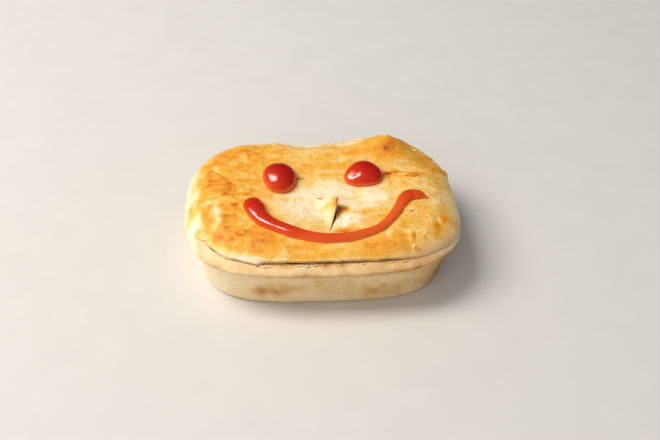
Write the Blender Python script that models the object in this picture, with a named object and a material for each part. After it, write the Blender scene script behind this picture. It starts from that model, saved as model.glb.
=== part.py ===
"""An oblong meat pie with a face of tomato sauce on its lid, in metres, +Z up.

The origin is the middle of the flat base, +X runs along the pie's length and -Y is the side of the smile. The pie
is a moulded shortcrust case, filled to the lid, a puffed lid that sits on its rim with one vent flap risen from it,
and three pieces of thick sauce piped on the lid.
"""

import math

import bmesh
import bpy
from mathutils import Vector

# Outline of the tin: a superellipse, which is an oblong with long rounded corners, tightest at the foot
RIM_HALF_LENGTH = 0.0690
RIM_HALF_DEPTH = 0.0500
RIM_CORNER_POWER = 3.3
FOOT_CORNER_POWER = 3.5
STEPS_ROUND = 80
# Where the soft rim slumped in the oven: direction in degrees, half width in degrees, amount
RIM_SLUMPS = (
    (33.0, 21.0, -0.0026),
    (8.0, 14.0, -0.0009),
    (95.0, 20.0, -0.0026),
    (145.0, 16.0, -0.0016),
    (-30.0, 16.0, 0.0008),
)

# Case: how far each level stands in from the rim's widest line, along the length and the depth, and its height
FOOT_INSET = Vector((0.0080, 0.0066))
WALL_TOP_INSET = Vector((0.0038, 0.0030))
FOOT_RADIUS = 0.0024
BEAD_BOTTOM_HEIGHT = 0.0222
RIM_WIDEST_HEIGHT = 0.0252
SEAM_HEIGHT = 0.0288
BEAD_DEPTH_OVER_WALL = 1.3
GROOVE_SOFTNESS = 0.0012
SEAM_INSET = Vector((0.0036, 0.0044))
SEAM_INSET_FRONT_EXTRA = 0.0008
# The case's filled inside meets the lid in rings at these shares of the way from the centre to the edge
INNER_SHARES = (0.2, 0.4, 0.6, 0.78, 0.9, 0.97)

# Lid: a sheet that rises from its cut edge over a shoulder to a nearly level top
TOP_RISE = 0.0078
EDGE_THICKNESS = 0.0012
FRONT_EDGE_THICKNESS = 0.0026
UNDER_RISE = 0.0006
SHOULDER_WIDTH = 0.0060
EDGE_STIFFNESS = 0.0015
EDGE_ROUNDING = 0.0006
TOP_SHARES = (0.985, 0.955, 0.915, 0.86, 0.79, 0.71, 0.62, 0.53, 0.44, 0.35, 0.26, 0.17, 0.08)
SEAM_GAP = 0.0003
FRONT_GAP = 0.0007
GAP = 0.0003

# Swellings and hollows of the lid: x, y, radius in x, radius in y, height
SWELLINGS = (
    (0.0345, 0.0390, 0.0125, 0.0110, 0.0050),
    (-0.0020, 0.0430, 0.0180, 0.0080, -0.0024),
    (0.0560, 0.0270, 0.0110, 0.0110, -0.0022),
    (-0.0460, 0.0330, 0.0120, 0.0090, 0.0012),
    (-0.0500, 0.0020, 0.0090, 0.0220, 0.0010),
    (-0.0340, -0.0370, 0.0160, 0.0070, 0.0012),
    (0.0400, -0.0350, 0.0180, 0.0080, 0.0010),
    (0.0020, -0.0090, 0.0260, 0.0190, -0.0022),
    (0.0160, -0.0200, 0.0060, 0.0050, 0.0012),
    (-0.0530, -0.0190, 0.0040, 0.0070, 0.0008),
    (0.0480, 0.0060, 0.0090, 0.0060, 0.0009),
)
# Wrinkles and flakes of the lid: x and y of both ends, half width, height
WRINKLES = (
    (-0.0570, 0.0210, -0.0450, 0.0070, 0.0022, -0.0009),
    (-0.0440, -0.0300, -0.0480, -0.0410, 0.0020, 0.0010),
    (-0.0380, -0.0330, -0.0400, -0.0435, 0.0020, -0.0009),
    (-0.0310, -0.0350, -0.0325, -0.0445, 0.0020, 0.0009),
    (0.0310, 0.0130, 0.0520, 0.0135, 0.0018, -0.0009),
    (0.0440, 0.0080, 0.0560, 0.0090, 0.0020, 0.0010),
    (0.0460, 0.0020, 0.0570, 0.0000, 0.0018, -0.0008),
    (0.0380, -0.0350, 0.0440, -0.0440, 0.0022, 0.0010),
    (0.0450, -0.0320, 0.0530, -0.0400, 0.0020, -0.0009),
    (0.0370, -0.0155, 0.0430, -0.0180, 0.0018, 0.0009),
    (0.0300, 0.0470, 0.0400, 0.0380, 0.0022, -0.0008),
)
# Where the lid's edge stands out or draws in: direction in degrees, half width in degrees, amount
EDGE_BULGES = (
    (60.0, 20.0, 0.0010),
    (98.0, 20.0, -0.0006),
    (27.0, 12.0, -0.0006),
    (-148.0, 14.0, -0.0018),
)

# Vent: the corner of a cut in the lid, risen on a hinge line on its left
HINGE_BACK = Vector((-0.0050, -0.0058))
HINGE_FRONT = Vector((0.0036, -0.0303))
CUT_CORNER = Vector((0.0090, -0.0072))
FLAP_TIP = Vector((0.0084, -0.0098))
FLAP_RISE = 0.0044
FLAP_CURL = 1.25
FLAP_THICKNESS = 0.0020
FLAP_ROOT = 0.0012
FLAP_ROWS = 6
CUT_DEPTH = 0.0042
CUTTER_HEADROOM = 0.0100

# Sauce: two blobs, and a bead piped along a smile
EYES = {
    "sauce_eye_left": {
        "centre": Vector((-0.0205, 0.0086)),
        "half_size": Vector((0.0087, 0.0097, 0.0074)),
        "lobes": (0.026, math.radians(31), 0.02, math.radians(130)),
        "top_shift": Vector((-0.0012, 0.0006)),
    },
    "sauce_eye_right": {
        "centre": Vector((0.0217, 0.0102)),
        "half_size": Vector((0.0097, 0.0084, 0.0062)),
        "lobes": (0.065, math.radians(90), 0.0, 0.0),
        "top_shift": Vector((0.0006, 0.0004)),
    },
}
EYE_STEPS_ROUND = 26
EYE_RINGS = 8
UNDERCUT = math.radians(22)
SMILE = [
    Vector(point)
    for point in (
        (-0.0353, -0.0062),
        (-0.0334, -0.0118),
        (-0.0306, -0.0180),
        (-0.0264, -0.0231),
        (-0.0196, -0.0272),
        (-0.0115, -0.0309),
        (0.0000, -0.0339),
        (0.0120, -0.0337),
        (0.0203, -0.0318),
        (0.0276, -0.0286),
        (0.0331, -0.0227),
        (0.0374, -0.0159),
        (0.0406, -0.0094),
        (0.0443, -0.0060),
        (0.0486, -0.0058),
        (0.0535, -0.0078),
    )
]
# Share of the smile's length, then the bead's half width and height there
SMILE_SIZES = (
    (0.00, 0.0050, 0.0044),
    (0.06, 0.0051, 0.0042),
    (0.13, 0.0043, 0.0037),
    (0.25, 0.0037, 0.0031),
    (0.40, 0.0029, 0.0024),
    (0.60, 0.0026, 0.0020),
    (0.72, 0.0026, 0.0019),
    (0.83, 0.0030, 0.0020),
    (0.91, 0.0040, 0.0025),
    (0.95, 0.0034, 0.0022),
    (1.00, 0.0008, 0.0006),
)
SMILE_SAMPLES = 400
SMILE_STATIONS = 46
END_STATIONS = 5
BEAD_STEPS = 8
BEAD_FULLNESS = 0.8

SHORTCRUST_COLOUR = (0.80, 0.60, 0.34)
PUFF_PASTRY_COLOUR = (0.83, 0.51, 0.19)
SAUCE_COLOUR = (0.62, 0.05, 0.02)
SMILE_COLOUR = (0.66, 0.08, 0.02)
PASTRY_ROUGHNESS = 0.7
GLAZED_ROUGHNESS = 0.5
SAUCE_ROUGHNESS = 0.2


def bell(distance):
    """A smooth hump: 1 at no distance, near 0 past a distance of 2."""
    return math.exp(-distance * distance)


def blend(table, share):
    """Interpolates the rows of a table smoothly by their first column."""
    for low, high in zip(table, table[1:]):
        if share <= high[0]:
            t = (share - low[0]) / (high[0] - low[0])
            t = t * t * (3 - 2 * t)
            return [a + (b - a) * t for a, b in zip(low[1:], high[1:])]
    return list(table[-1][1:])


def superellipse(turn, half, power):
    """The point of a superellipse of these half sizes at this turn."""
    c, s = math.cos(turn), math.sin(turn)
    reach = (abs(c) ** power + abs(s) ** power) ** (-1 / power)
    return Vector((half.x * reach * c, half.y * reach * s))


def bumps_round(table, turn):
    """Sum of the table's humps at this turn."""
    total = 0.0
    for direction, half_width, amount in table:
        away = (math.degrees(turn) - direction + 180) % 360 - 180
        total += amount * bell(away / half_width)
    return total


def outline(turn, inset, height):
    """The case's outline at this turn and height, drawn in along the length and the depth, slumped near the rim."""
    rise = min(1.0, height / RIM_WIDEST_HEIGHT)
    power = FOOT_CORNER_POWER + (RIM_CORNER_POWER - FOOT_CORNER_POWER) * rise
    point = superellipse(turn, Vector((RIM_HALF_LENGTH, RIM_HALF_DEPTH)) - inset, power)
    return point + point.normalized() * bumps_round(RIM_SLUMPS, turn) * rise**2


def front(turn):
    """1 in the middle of the front, 0 round the back half."""
    return max(0.0, -math.sin(turn)) ** 2


def seam_inset(turn):
    """How far the seam stands in from the rim's widest line, most along the front."""
    return SEAM_INSET - Vector((0.0, SEAM_INSET_FRONT_EXTRA * math.sin(turn)))


def lid_edge(turn):
    """The point of the lid's edge at this turn, seen from above."""
    point = outline(turn, seam_inset(turn), SEAM_HEIGHT)
    return point + point.normalized() * bumps_round(EDGE_BULGES, turn)


def lid_top(x, y):
    """Height of the lid's top: the shoulder's rise by the distance to the edge, with swellings and wrinkles."""
    turn = math.atan2(y / RIM_HALF_DEPTH, x / RIM_HALF_LENGTH)
    half = Vector((RIM_HALF_LENGTH, RIM_HALF_DEPTH)) - seam_inset(turn)
    half *= lid_edge(turn).length / superellipse(turn, half, RIM_CORNER_POWER).length
    u, v = abs(x) / half.x, abs(y) / half.y
    share = max(0.05, (u**RIM_CORNER_POWER + v**RIM_CORNER_POWER) ** (1 / RIM_CORNER_POWER))
    slope_x = (u / share) ** (RIM_CORNER_POWER - 1) / half.x
    slope_y = (v / share) ** (RIM_CORNER_POWER - 1) / half.y
    from_edge = max(0.0, 1 - share) / max(math.hypot(slope_x, slope_y), 0.5 / half.x)
    edge = EDGE_THICKNESS + (FRONT_EDGE_THICKNESS - EDGE_THICKNESS) * front(turn)
    height = SEAM_HEIGHT + edge + (TOP_RISE - edge) * (1 - math.exp(-from_edge / SHOULDER_WIDTH))
    relief = 0.0
    for centre_x, centre_y, radius_x, radius_y, rise in SWELLINGS:
        relief += rise * bell(math.hypot((x - centre_x) / radius_x, (y - centre_y) / radius_y))
    for start_x, start_y, end_x, end_y, half_width, rise in WRINKLES:
        away = distance_to_line(Vector((x, y)), Vector((start_x, start_y)), Vector((end_x, end_y)))
        relief += rise * bell(away / half_width)
    return height + relief * (1 - math.exp(-from_edge / EDGE_STIFFNESS))


def distance_to_line(point, start, end):
    """Distance from a point to the line between two ends."""
    along = end - start
    share = min(1.0, max(0.0, (point - start).dot(along) / along.length_squared))
    return (point - start - along * share).length


def seam_gap(turn):
    """The crack under the lid's edge: open along the front, closed to a hair elsewhere."""
    return SEAM_GAP + FRONT_GAP * front(turn) ** 2


def lid_under(turn, share):
    """Height of the lid's nearly flat underside at a share of the way from the centre to the edge."""
    crack = seam_gap(turn) - SEAM_GAP
    return SEAM_HEIGHT + SEAM_GAP + UNDER_RISE * (1 - share**4) + crack * share**12


def loft(name, rings, first_point, last_point):
    """A closed mesh through rings of points, from a first point to a last one, each ring turning the same way."""
    mesh = bmesh.new()
    first = mesh.verts.new(first_point)
    levels = [[mesh.verts.new(point) for point in ring] for ring in rings]
    last = mesh.verts.new(last_point)
    count = len(levels[0])
    for i in range(count):
        j = (i + 1) % count
        mesh.faces.new((first, levels[0][j], levels[0][i]))
        for low, high in zip(levels, levels[1:]):
            mesh.faces.new((low[i], low[j], high[j], high[i]))
        mesh.faces.new((levels[-1][i], levels[-1][j], last))
    return add_object(name, mesh)


def add_object(name, mesh):
    """Puts a bmesh into the scene as an object, its faces pointing outwards."""
    bmesh.ops.recalc_face_normals(mesh, faces=mesh.faces)
    data = bpy.data.meshes.new(name)
    mesh.to_mesh(data)
    mesh.free()
    data.shade_smooth()
    data.set_sharp_from_angle(angle=math.radians(50))
    obj = bpy.data.objects.new(name, data)
    bpy.context.scene.collection.objects.link(obj)
    return obj


def paint(obj, name, colour, roughness):
    """Gives an object its own plain material."""
    material = bpy.data.materials.new(name)
    material.use_nodes = True
    shader = material.node_tree.nodes["Principled BSDF"]
    shader.inputs["Base Color"].default_value = (*colour, 1.0)
    shader.inputs["Roughness"].default_value = roughness
    shader.inputs["Metallic"].default_value = 0.0
    obj.data.materials.append(material)


def boolean(obj, other, operation):
    """Cuts or joins another object into this one and removes the other."""
    modifier = obj.modifiers.new(operation.lower(), "BOOLEAN")
    modifier.operation = operation
    modifier.object = other
    modifier.solver = "EXACT"
    with bpy.context.temp_override(object=obj, active_object=obj, selected_objects=[obj]):
        bpy.ops.object.modifier_apply(modifier=modifier.name)
    bpy.data.objects.remove(other)


def turns():
    """The turns of one ring."""
    return [math.tau * i / STEPS_ROUND for i in range(STEPS_ROUND)]


def soft_least(a, b):
    """The smaller of two insets, rounded where they meet, so that the rim's underside has a soft groove."""
    overlap = max(0.0, GROOVE_SOFTNESS - abs(a - b)) / GROOVE_SOFTNESS
    return min(a, b) - overlap * overlap * GROOVE_SOFTNESS / 4


def quarter_round(level):
    """How far a quarter circle has drawn in at this share of its height: none at first, all at the end."""
    return 1 - math.sqrt(1 - level * level)


def case_inset(turn, height):
    """The case's inset at this height: a rounded foot, a tapered wall, and a rounded bead from groove to seam."""
    if height < FOOT_RADIUS:
        foot = FOOT_RADIUS * quarter_round(1 - height / FOOT_RADIUS)
        return FOOT_INSET + Vector((foot, foot))
    if height > RIM_WIDEST_HEIGHT:
        level = (height - RIM_WIDEST_HEIGHT) / (SEAM_HEIGHT - RIM_WIDEST_HEIGHT)
        return seam_inset(turn) * quarter_round(min(1.0, level))
    wall = FOOT_INSET.lerp(WALL_TOP_INSET, (height - FOOT_RADIUS) / (BEAD_BOTTOM_HEIGHT - FOOT_RADIUS))
    if height < BEAD_BOTTOM_HEIGHT:
        return wall
    level = (RIM_WIDEST_HEIGHT - height) / (RIM_WIDEST_HEIGHT - BEAD_BOTTOM_HEIGHT)
    bead = WALL_TOP_INSET * BEAD_DEPTH_OVER_WALL * quarter_round(level)
    return Vector((soft_least(bead.x, wall.x), soft_least(bead.y, wall.y)))


def case_heights():
    """Heights of the case's levels from the foot to the seam, closest where its side curves most."""
    heights = [FOOT_RADIUS * (1 - math.cos(math.radians(angle))) for angle in (0, 45, 90)]
    heights += [FOOT_RADIUS + (BEAD_BOTTOM_HEIGHT - FOOT_RADIUS) * share for share in (0.33, 0.66, 0.9)]
    below = RIM_WIDEST_HEIGHT - BEAD_BOTTOM_HEIGHT
    heights += [RIM_WIDEST_HEIGHT - below * math.sin(math.radians(angle)) for angle in (75, 60, 42, 22, 0)]
    above = SEAM_HEIGHT - RIM_WIDEST_HEIGHT
    heights += [RIM_WIDEST_HEIGHT + above * math.sin(math.radians(angle)) for angle in (22, 42, 60, 76, 90)]
    return heights


def make_case():
    """The moulded shortcrust case: tapered wall, rounded rim, and the filled inside up to the lid."""
    rings = []
    for height in case_heights():
        rings.append([(*outline(turn, case_inset(turn, height), height), height) for turn in turns()])
    for share in reversed(INNER_SHARES):
        ring = []
        for turn in turns():
            place = lid_edge(turn) * share
            ring.append((*place, lid_under(turn, share) - GAP))
        rings.append(ring)
    case = loft("pastry_case", rings, (0, 0, 0), (0, 0, lid_under(0.0, 0.0) - GAP))
    paint(case, "shortcrust", SHORTCRUST_COLOUR, PASTRY_ROUGHNESS)


def make_lid():
    """The puffed lid: underside, cut edge and swollen top, with the vent cut and its risen flap."""
    rings = []
    for share in INNER_SHARES:
        rings.append([(*(lid_edge(turn) * share), lid_under(turn, share)) for turn in turns()])
    for rounding, level in ((1.0, 0.0), (0.0, 0.35), (0.3, 0.75)):
        ring = []
        for turn in turns():
            edge = lid_edge(turn)
            place = edge - edge.normalized() * EDGE_ROUNDING * rounding
            low = SEAM_HEIGHT + seam_gap(turn)
            ring.append((*place, low + (lid_top(*edge) - low) * level))
        rings.append(ring)
    for share in TOP_SHARES:
        ring = []
        for turn in turns():
            place = lid_edge(turn) * share
            ring.append((*place, lid_top(*place)))
        rings.append(ring)
    lid = loft("pastry_lid", rings, (0, 0, lid_under(0.0, 0.0)), (0, 0, lid_top(0, 0)))
    boolean(lid, make_vent_cutter(), "DIFFERENCE")
    boolean(lid, make_flap(), "UNION")
    paint(lid, "puff_pastry", PUFF_PASTRY_COLOUR, GLAZED_ROUGHNESS)


def make_vent_cutter():
    """A wedge, level with the lid along the hinge and deepest at the cut's corner."""
    mesh = bmesh.new()
    corners = (HINGE_BACK, HINGE_FRONT, CUT_CORNER)
    low = []
    for corner, depth in zip(corners, (0.0, 0.0, CUT_DEPTH)):
        low.append(mesh.verts.new((*corner, lid_top(*corner) - depth)))
    high = [mesh.verts.new((*corner, lid_top(0, 0) + CUTTER_HEADROOM)) for corner in corners]
    mesh.faces.new(low)
    mesh.faces.new(reversed(high))
    for i in range(3):
        j = (i + 1) % 3
        mesh.faces.new((low[j], low[i], high[i], high[j]))
    return add_object("vent_cutter", mesh)


def make_flap():
    """The risen corner: a three-sided slab that leaves the lid along the hinge and curls up to its tip."""
    across = (HINGE_FRONT - HINGE_BACK).orthogonal().normalized()
    root = across * math.copysign(FLAP_ROOT, -across.dot(FLAP_TIP - HINGE_BACK))
    mesh = bmesh.new()
    top, bottom = {}, {}
    for i in range(FLAP_ROWS + 1):
        for j in range(FLAP_ROWS + 1 - i):
            tip = i / FLAP_ROWS
            back = j / FLAP_ROWS
            place = FLAP_TIP * tip + (HINGE_BACK + root) * back + (HINGE_FRONT + root) * (1 - tip - back)
            height = lid_top(*place) + (FLAP_RISE + GAP) * tip**FLAP_CURL - GAP
            top[i, j] = mesh.verts.new((*place, height))
            bottom[i, j] = mesh.verts.new((*place, height - FLAP_THICKNESS))
    for side, flip in ((top, False), (bottom, True)):
        for i in range(FLAP_ROWS):
            for j in range(FLAP_ROWS - i):
                add_triangle(mesh, side, (i, j), (i + 1, j), (i, j + 1), flip)
                if i + j < FLAP_ROWS - 1:
                    add_triangle(mesh, side, (i + 1, j), (i + 1, j + 1), (i, j + 1), flip)
    rim = [(i, 0) for i in range(FLAP_ROWS)]
    rim += [(FLAP_ROWS - j, j) for j in range(FLAP_ROWS)]
    rim += [(0, FLAP_ROWS - k) for k in range(FLAP_ROWS)]
    for a, b in zip(rim, rim[1:] + rim[:1]):
        mesh.faces.new((top[a], bottom[a], bottom[b], top[b]))
    return add_object("vent_flap", mesh)


def add_triangle(mesh, side, a, b, c, flip):
    """One triangle of the flap's top or, turned over, of its bottom."""
    corners = (side[a], side[b], side[c])
    mesh.faces.new(reversed(corners) if flip else corners)


def make_eye(name, centre, half_size, lobes, top_shift):
    """A blob of thick sauce: a dome that bulges over its foot, three and two lobes bending its outline, its top moved
    a little to one side."""
    three, three_turn, two, two_turn = lobes
    rings = []
    foot = math.sin(UNDERCUT)
    for ring_number in range(EYE_RINGS):
        angle = -UNDERCUT + (math.pi / 2 + UNDERCUT) * ring_number / EYE_RINGS
        rise = half_size.z * (math.sin(angle) + foot) / (1 + foot)
        climb = ring_number / EYE_RINGS
        ring = []
        for i in range(EYE_STEPS_ROUND):
            turn = math.tau * i / EYE_STEPS_ROUND
            lobed = 1 + three * math.cos(3 * (turn - three_turn)) + two * math.cos(2 * (turn - two_turn))
            reach = math.cos(angle) * lobed
            place = Vector((half_size.x * math.cos(turn), half_size.y * math.sin(turn))) * reach
            place += centre + top_shift * climb
            floor = lid_top(*place) * (1 - climb) + lid_top(*centre) * climb
            ring.append((*place, floor + GAP + rise))
        rings.append(ring)
    floor = lid_top(*centre) + GAP
    eye = loft(name, rings, (*centre, floor), (*(centre + top_shift), floor + half_size.z))
    paint(eye, name, SAUCE_COLOUR, SAUCE_ROUGHNESS)


def smile_point(share):
    """A point of the smile: a smooth curve through its points, and its direction there."""
    spans = len(SMILE) - 1
    position = min(share * spans, spans - 1e-9)
    k = int(position)
    t = position - k
    before = SMILE[k - 1] if k > 0 else SMILE[0] * 2 - SMILE[1]
    after = SMILE[k + 2] if k + 2 <= spans else SMILE[spans] * 2 - SMILE[spans - 1]
    a, b = SMILE[k], SMILE[k + 1]
    start, end = (b - before) / 2, (after - a) / 2
    point = a * (2 * t**3 - 3 * t**2 + 1) + start * (t**3 - 2 * t**2 + t)
    point += b * (3 * t**2 - 2 * t**3) + end * (t**3 - t**2)
    along = a * (6 * t**2 - 6 * t) + start * (3 * t**2 - 4 * t + 1)
    along += b * (6 * t - 6 * t**2) + end * (3 * t**2 - 2 * t)
    return point, along.normalized()


def smile_stations():
    """Point, direction, share of the length and roundness of each station, close together at the rounded ends."""
    samples = [smile_point(i / SMILE_SAMPLES) for i in range(SMILE_SAMPLES + 1)]
    reached = [0.0]
    for (before, _), (after, _) in zip(samples, samples[1:]):
        reached.append(reached[-1] + (after - before).length)
    length = reached[-1]
    start_round, end_round = SMILE_SIZES[0][1], SMILE_SIZES[-1][1]
    angles = [math.pi / 2 * (k + 0.35) / END_STATIONS for k in range(END_STATIONS)]
    distances = [start_round * (1 - math.cos(angle)) for angle in angles]
    body = length - start_round - end_round
    distances += [start_round + body * k / SMILE_STATIONS for k in range(SMILE_STATIONS + 1)]
    distances += [length - end_round * (1 - math.cos(angle)) for angle in reversed(angles)]
    stations = []
    k = 0
    for distance in distances:
        while reached[k + 1] < distance:
            k += 1
        t = (distance - reached[k]) / (reached[k + 1] - reached[k])
        point, along = smile_point((k + t) / SMILE_SAMPLES)
        to_start = max(0.0, 1 - distance / start_round)
        to_end = max(0.0, 1 - (length - distance) / end_round)
        stations.append((point, along, distance / length, math.sqrt(1 - max(to_start, to_end) ** 2)))
    return stations


def make_smile():
    """The smile: a bead with a flat foot on the lid, thick where piping began and thin at its tail."""
    rings = []
    for point, along, share, roundness in smile_stations():
        half_width, height = blend(SMILE_SIZES, share)
        side = Vector((-along.y, along.x)) * half_width * roundness
        rise = height * roundness
        ring = []
        for step in range(BEAD_STEPS + 1):
            angle = math.pi * step / BEAD_STEPS
            place = point - side * math.cos(angle)
            ring.append((*place, lid_top(*place) + GAP + rise * math.sin(angle) ** BEAD_FULLNESS))
        for across in (1 / 3, -1 / 3):
            place = point + side * across
            ring.append((*place, lid_top(*place) + GAP))
        rings.append(ring)
    ends = []
    for share in (0.0, 1.0):
        point, _ = smile_point(share)
        ends.append((*point, lid_top(*point) + 2 * GAP))
    smile = loft("sauce_smile", rings, *ends)
    paint(smile, "sauce_smile", SMILE_COLOUR, SAUCE_ROUGHNESS)


def main():
    for obj in list(bpy.data.objects):
        bpy.data.objects.remove(obj)
    make_case()
    make_lid()
    for name, sizes in EYES.items():
        make_eye(name, **sizes)
    make_smile()


main()
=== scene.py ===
import math

import bpy
import numpy as np
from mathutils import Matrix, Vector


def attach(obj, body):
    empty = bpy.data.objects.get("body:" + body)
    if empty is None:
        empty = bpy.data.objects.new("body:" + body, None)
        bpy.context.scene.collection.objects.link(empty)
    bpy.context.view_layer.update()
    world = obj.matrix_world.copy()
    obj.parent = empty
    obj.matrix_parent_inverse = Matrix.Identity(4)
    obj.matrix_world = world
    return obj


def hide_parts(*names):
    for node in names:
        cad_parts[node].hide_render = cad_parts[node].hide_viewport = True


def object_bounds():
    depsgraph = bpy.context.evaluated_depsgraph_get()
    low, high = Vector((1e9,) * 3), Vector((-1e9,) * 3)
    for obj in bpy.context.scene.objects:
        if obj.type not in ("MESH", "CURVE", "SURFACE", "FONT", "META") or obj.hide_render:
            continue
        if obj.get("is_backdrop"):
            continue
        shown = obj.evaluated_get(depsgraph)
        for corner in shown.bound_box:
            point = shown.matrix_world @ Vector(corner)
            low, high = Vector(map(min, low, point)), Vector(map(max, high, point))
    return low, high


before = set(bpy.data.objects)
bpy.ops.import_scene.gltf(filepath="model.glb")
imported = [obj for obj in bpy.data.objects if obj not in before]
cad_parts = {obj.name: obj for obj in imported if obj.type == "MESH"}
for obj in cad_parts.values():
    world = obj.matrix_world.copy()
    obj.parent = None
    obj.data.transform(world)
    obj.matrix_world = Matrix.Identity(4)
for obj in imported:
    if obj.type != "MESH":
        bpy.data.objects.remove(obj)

cad_low, cad_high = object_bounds()

# The case. Shortcrust dough is pressed into an oblong tin, filled, baked and turned out. Its wall tapers to
# a flat foot, and the rim that lay on the tin's lip is a soft bead over a shallow groove. It stays pale and
# floury, and browns in blotches where the wall touched the metal.
RIM_HALF_SIZE = np.array((0.0690, 0.0500))
RIM_CORNER_POWER = 3.3
FOOT_CORNER_POWER = 3.5
# Where the soft rim slumped in the oven: direction in degrees, half width in degrees, amount
RIM_SLUMPS = (
    (33.0, 21.0, -0.0026),
    (8.0, 14.0, -0.0009),
    (95.0, 20.0, -0.0026),
    (145.0, 16.0, -0.0016),
    (-148.0, 11.0, -0.0013),
    (-30.0, 16.0, 0.0008),
)
FOOT_INSET = np.array((0.0080, 0.0066))
WALL_TOP_INSET = np.array((0.0038, 0.0030))
FOOT_RADIUS = 0.0024
BEAD_BOTTOM_HEIGHT = 0.0236
RIM_WIDEST_HEIGHT = 0.0262
SEAM_HEIGHT = 0.0288
BEAD_DEPTH_OVER_WALL = 1.5
BEAD_POWER = 1.65
GROOVE_SOFTNESS = 0.0007
SEAM_INSET = np.array((0.0036, 0.0044))
SEAM_INSET_FRONT_EXTRA = 0.0008
CASE_STEPS_ROUND = 640
CASE_UNEVENNESS = 0.00032
RIM_UNEVENNESS = 0.00045


def superellipse(turn, half_size, power):
    """Points of a superellipse: cosine and sine of the turn over the power mean of both, times the half
    sizes."""
    c, s = np.cos(turn), np.sin(turn)
    reach = (np.abs(c) ** power + np.abs(s) ** power) ** (-1 / power)
    return half_size * np.stack((reach * c, reach * s), axis=-1)


def bell(distance):
    """A smooth hump, e to the minus distance squared: 1 at no distance and near 0 past 2."""
    return np.exp(-distance * distance)


def smooth_step(value, low, high):
    """0 below low, 1 above high, and 3 t squared minus 2 t cubed between them."""
    t = np.clip((value - low) / (high - low), 0, 1)
    return t * t * (3 - 2 * t)


def humps_round(table, turn):
    """Sum of a table's humps: each is its amount times a bell of the angle from its direction over its half
    width."""
    total = np.zeros_like(turn)
    for direction, half_width, amount in table:
        away = (np.degrees(turn) - direction + 180) % 360 - 180
        total = total + amount * bell(away / half_width)
    return total


def patch(across, up, row):
    """A table row's patch: its amount times a bell of the distance from its centre, in its own two radii."""
    centre_across, centre_up, radius_across, radius_up, amount = row
    return amount * bell(np.hypot((across - centre_across) / radius_across, (up - centre_up) / radius_up))


def unit(vectors):
    """Each vector over its own length."""
    return vectors / np.linalg.norm(vectors, axis=-1, keepdims=True)


def case_outline(turn, inset, height):
    """The superellipse drawn in by the inset, its corners loosening from foot to rim, plus the rim's
    slumps, which grow with the square of the height."""
    rise = np.minimum(1.0, height / RIM_WIDEST_HEIGHT)
    power = FOOT_CORNER_POWER + (RIM_CORNER_POWER - FOOT_CORNER_POWER) * rise
    point = superellipse(turn, RIM_HALF_SIZE - inset, power)
    return point + unit(point) * (humps_round(RIM_SLUMPS, turn) * rise**2)[..., None]


def quarter_round(level):
    """How far a quarter circle has drawn in at this share of its height: 1 minus the root of 1 minus its
    square."""
    return 1 - np.sqrt(np.maximum(0.0, 1 - level * level))


def seam_inset(turn):
    """The seam's inset from the rim's widest line, with an extra that follows minus the sine of the turn."""
    extra = SEAM_INSET_FRONT_EXTRA * np.sin(turn)
    return SEAM_INSET - np.stack((np.zeros_like(extra), extra), axis=-1)


def case_inset(turn, height):
    """The case's side: a quarter circle at the foot, a straight taper, then a bead, a quarter ellipse below
    its widest line and a quarter superellipse above it. The wall and the bead's lower half meet in a soft
    minimum, which leaves the groove."""
    turn, height = np.broadcast_arrays(turn, height)
    foot = FOOT_INSET + FOOT_RADIUS * quarter_round(np.clip(1 - height / FOOT_RADIUS, 0, 1))[..., None]
    up_wall = (height - FOOT_RADIUS) / (BEAD_BOTTOM_HEIGHT - FOOT_RADIUS)
    wall = FOOT_INSET + (WALL_TOP_INSET - FOOT_INSET) * up_wall[..., None]
    below = np.clip((RIM_WIDEST_HEIGHT - height) / (RIM_WIDEST_HEIGHT - BEAD_BOTTOM_HEIGHT), 0, 1)
    bead = WALL_TOP_INSET * BEAD_DEPTH_OVER_WALL * quarter_round(below)[..., None]
    overlap = np.maximum(0.0, GROOVE_SOFTNESS - np.abs(bead - wall)) / GROOVE_SOFTNESS
    under_bead = np.minimum(bead, wall) - overlap**2 * GROOVE_SOFTNESS / 4
    above = np.clip((height - RIM_WIDEST_HEIGHT) / (SEAM_HEIGHT - RIM_WIDEST_HEIGHT), 0, 1)
    over_bead = seam_inset(turn) * (1 - (1 - above**BEAD_POWER) ** (1 / BEAD_POWER))[..., None]
    level = height[..., None]
    inset = np.where(level < FOOT_RADIUS, foot, wall)
    inset = np.where(level >= BEAD_BOTTOM_HEIGHT, under_bead, inset)
    return np.where(level > RIM_WIDEST_HEIGHT, over_bead, inset)


def dough_noise(points, cell, seed):
    """Smooth random field from -1 to 1: a random number at each corner of a cubic lattice of this cell,
    blended in each cube along every axis by the fade curve t cubed times 10 - 15 t + 6 t squared."""
    lattice = np.random.default_rng(seed).uniform(-1.0, 1.0, (64, 64, 64))
    place = np.asarray(points) / cell + 31.7
    corner = np.floor(place).astype(int)
    t = place - corner
    t = t**3 * (10 - 15 * t + 6 * t * t)
    total = 0.0
    for step in np.ndindex(2, 2, 2):
        weight = np.prod(np.where(step, t, 1 - t), axis=-1)
        i, j, k = np.moveaxis((corner + step) & 63, -1, 0)
        total = total + weight * lattice[i, j, k]
    return total


def dough_octaves(points, cell, seed, octaves=3, fading=0.5):
    """Sum of noise fields, each with half the cell of the one before and its strength times the fading."""
    total, strength = 0.0, 1.0
    for octave in range(octaves):
        total = total + strength * dough_noise(points, cell / 2**octave, seed + octave)
        strength *= fading
    return total


def new_piece(name, points, faces, **values):
    """An object at the origin made of these points and faces. Each further value has one number for each
    point and becomes a vertex attribute."""
    mesh = bpy.data.meshes.new(name)
    mesh.from_pydata(points.tolist(), [], faces)
    for value_name, value in values.items():
        mesh.attributes.new(value_name, "FLOAT", "POINT").data.foreach_set("value", value.astype(np.float32))
    piece = bpy.data.objects.new(name, mesh)
    bpy.context.scene.collection.objects.link(piece)
    return piece


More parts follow.
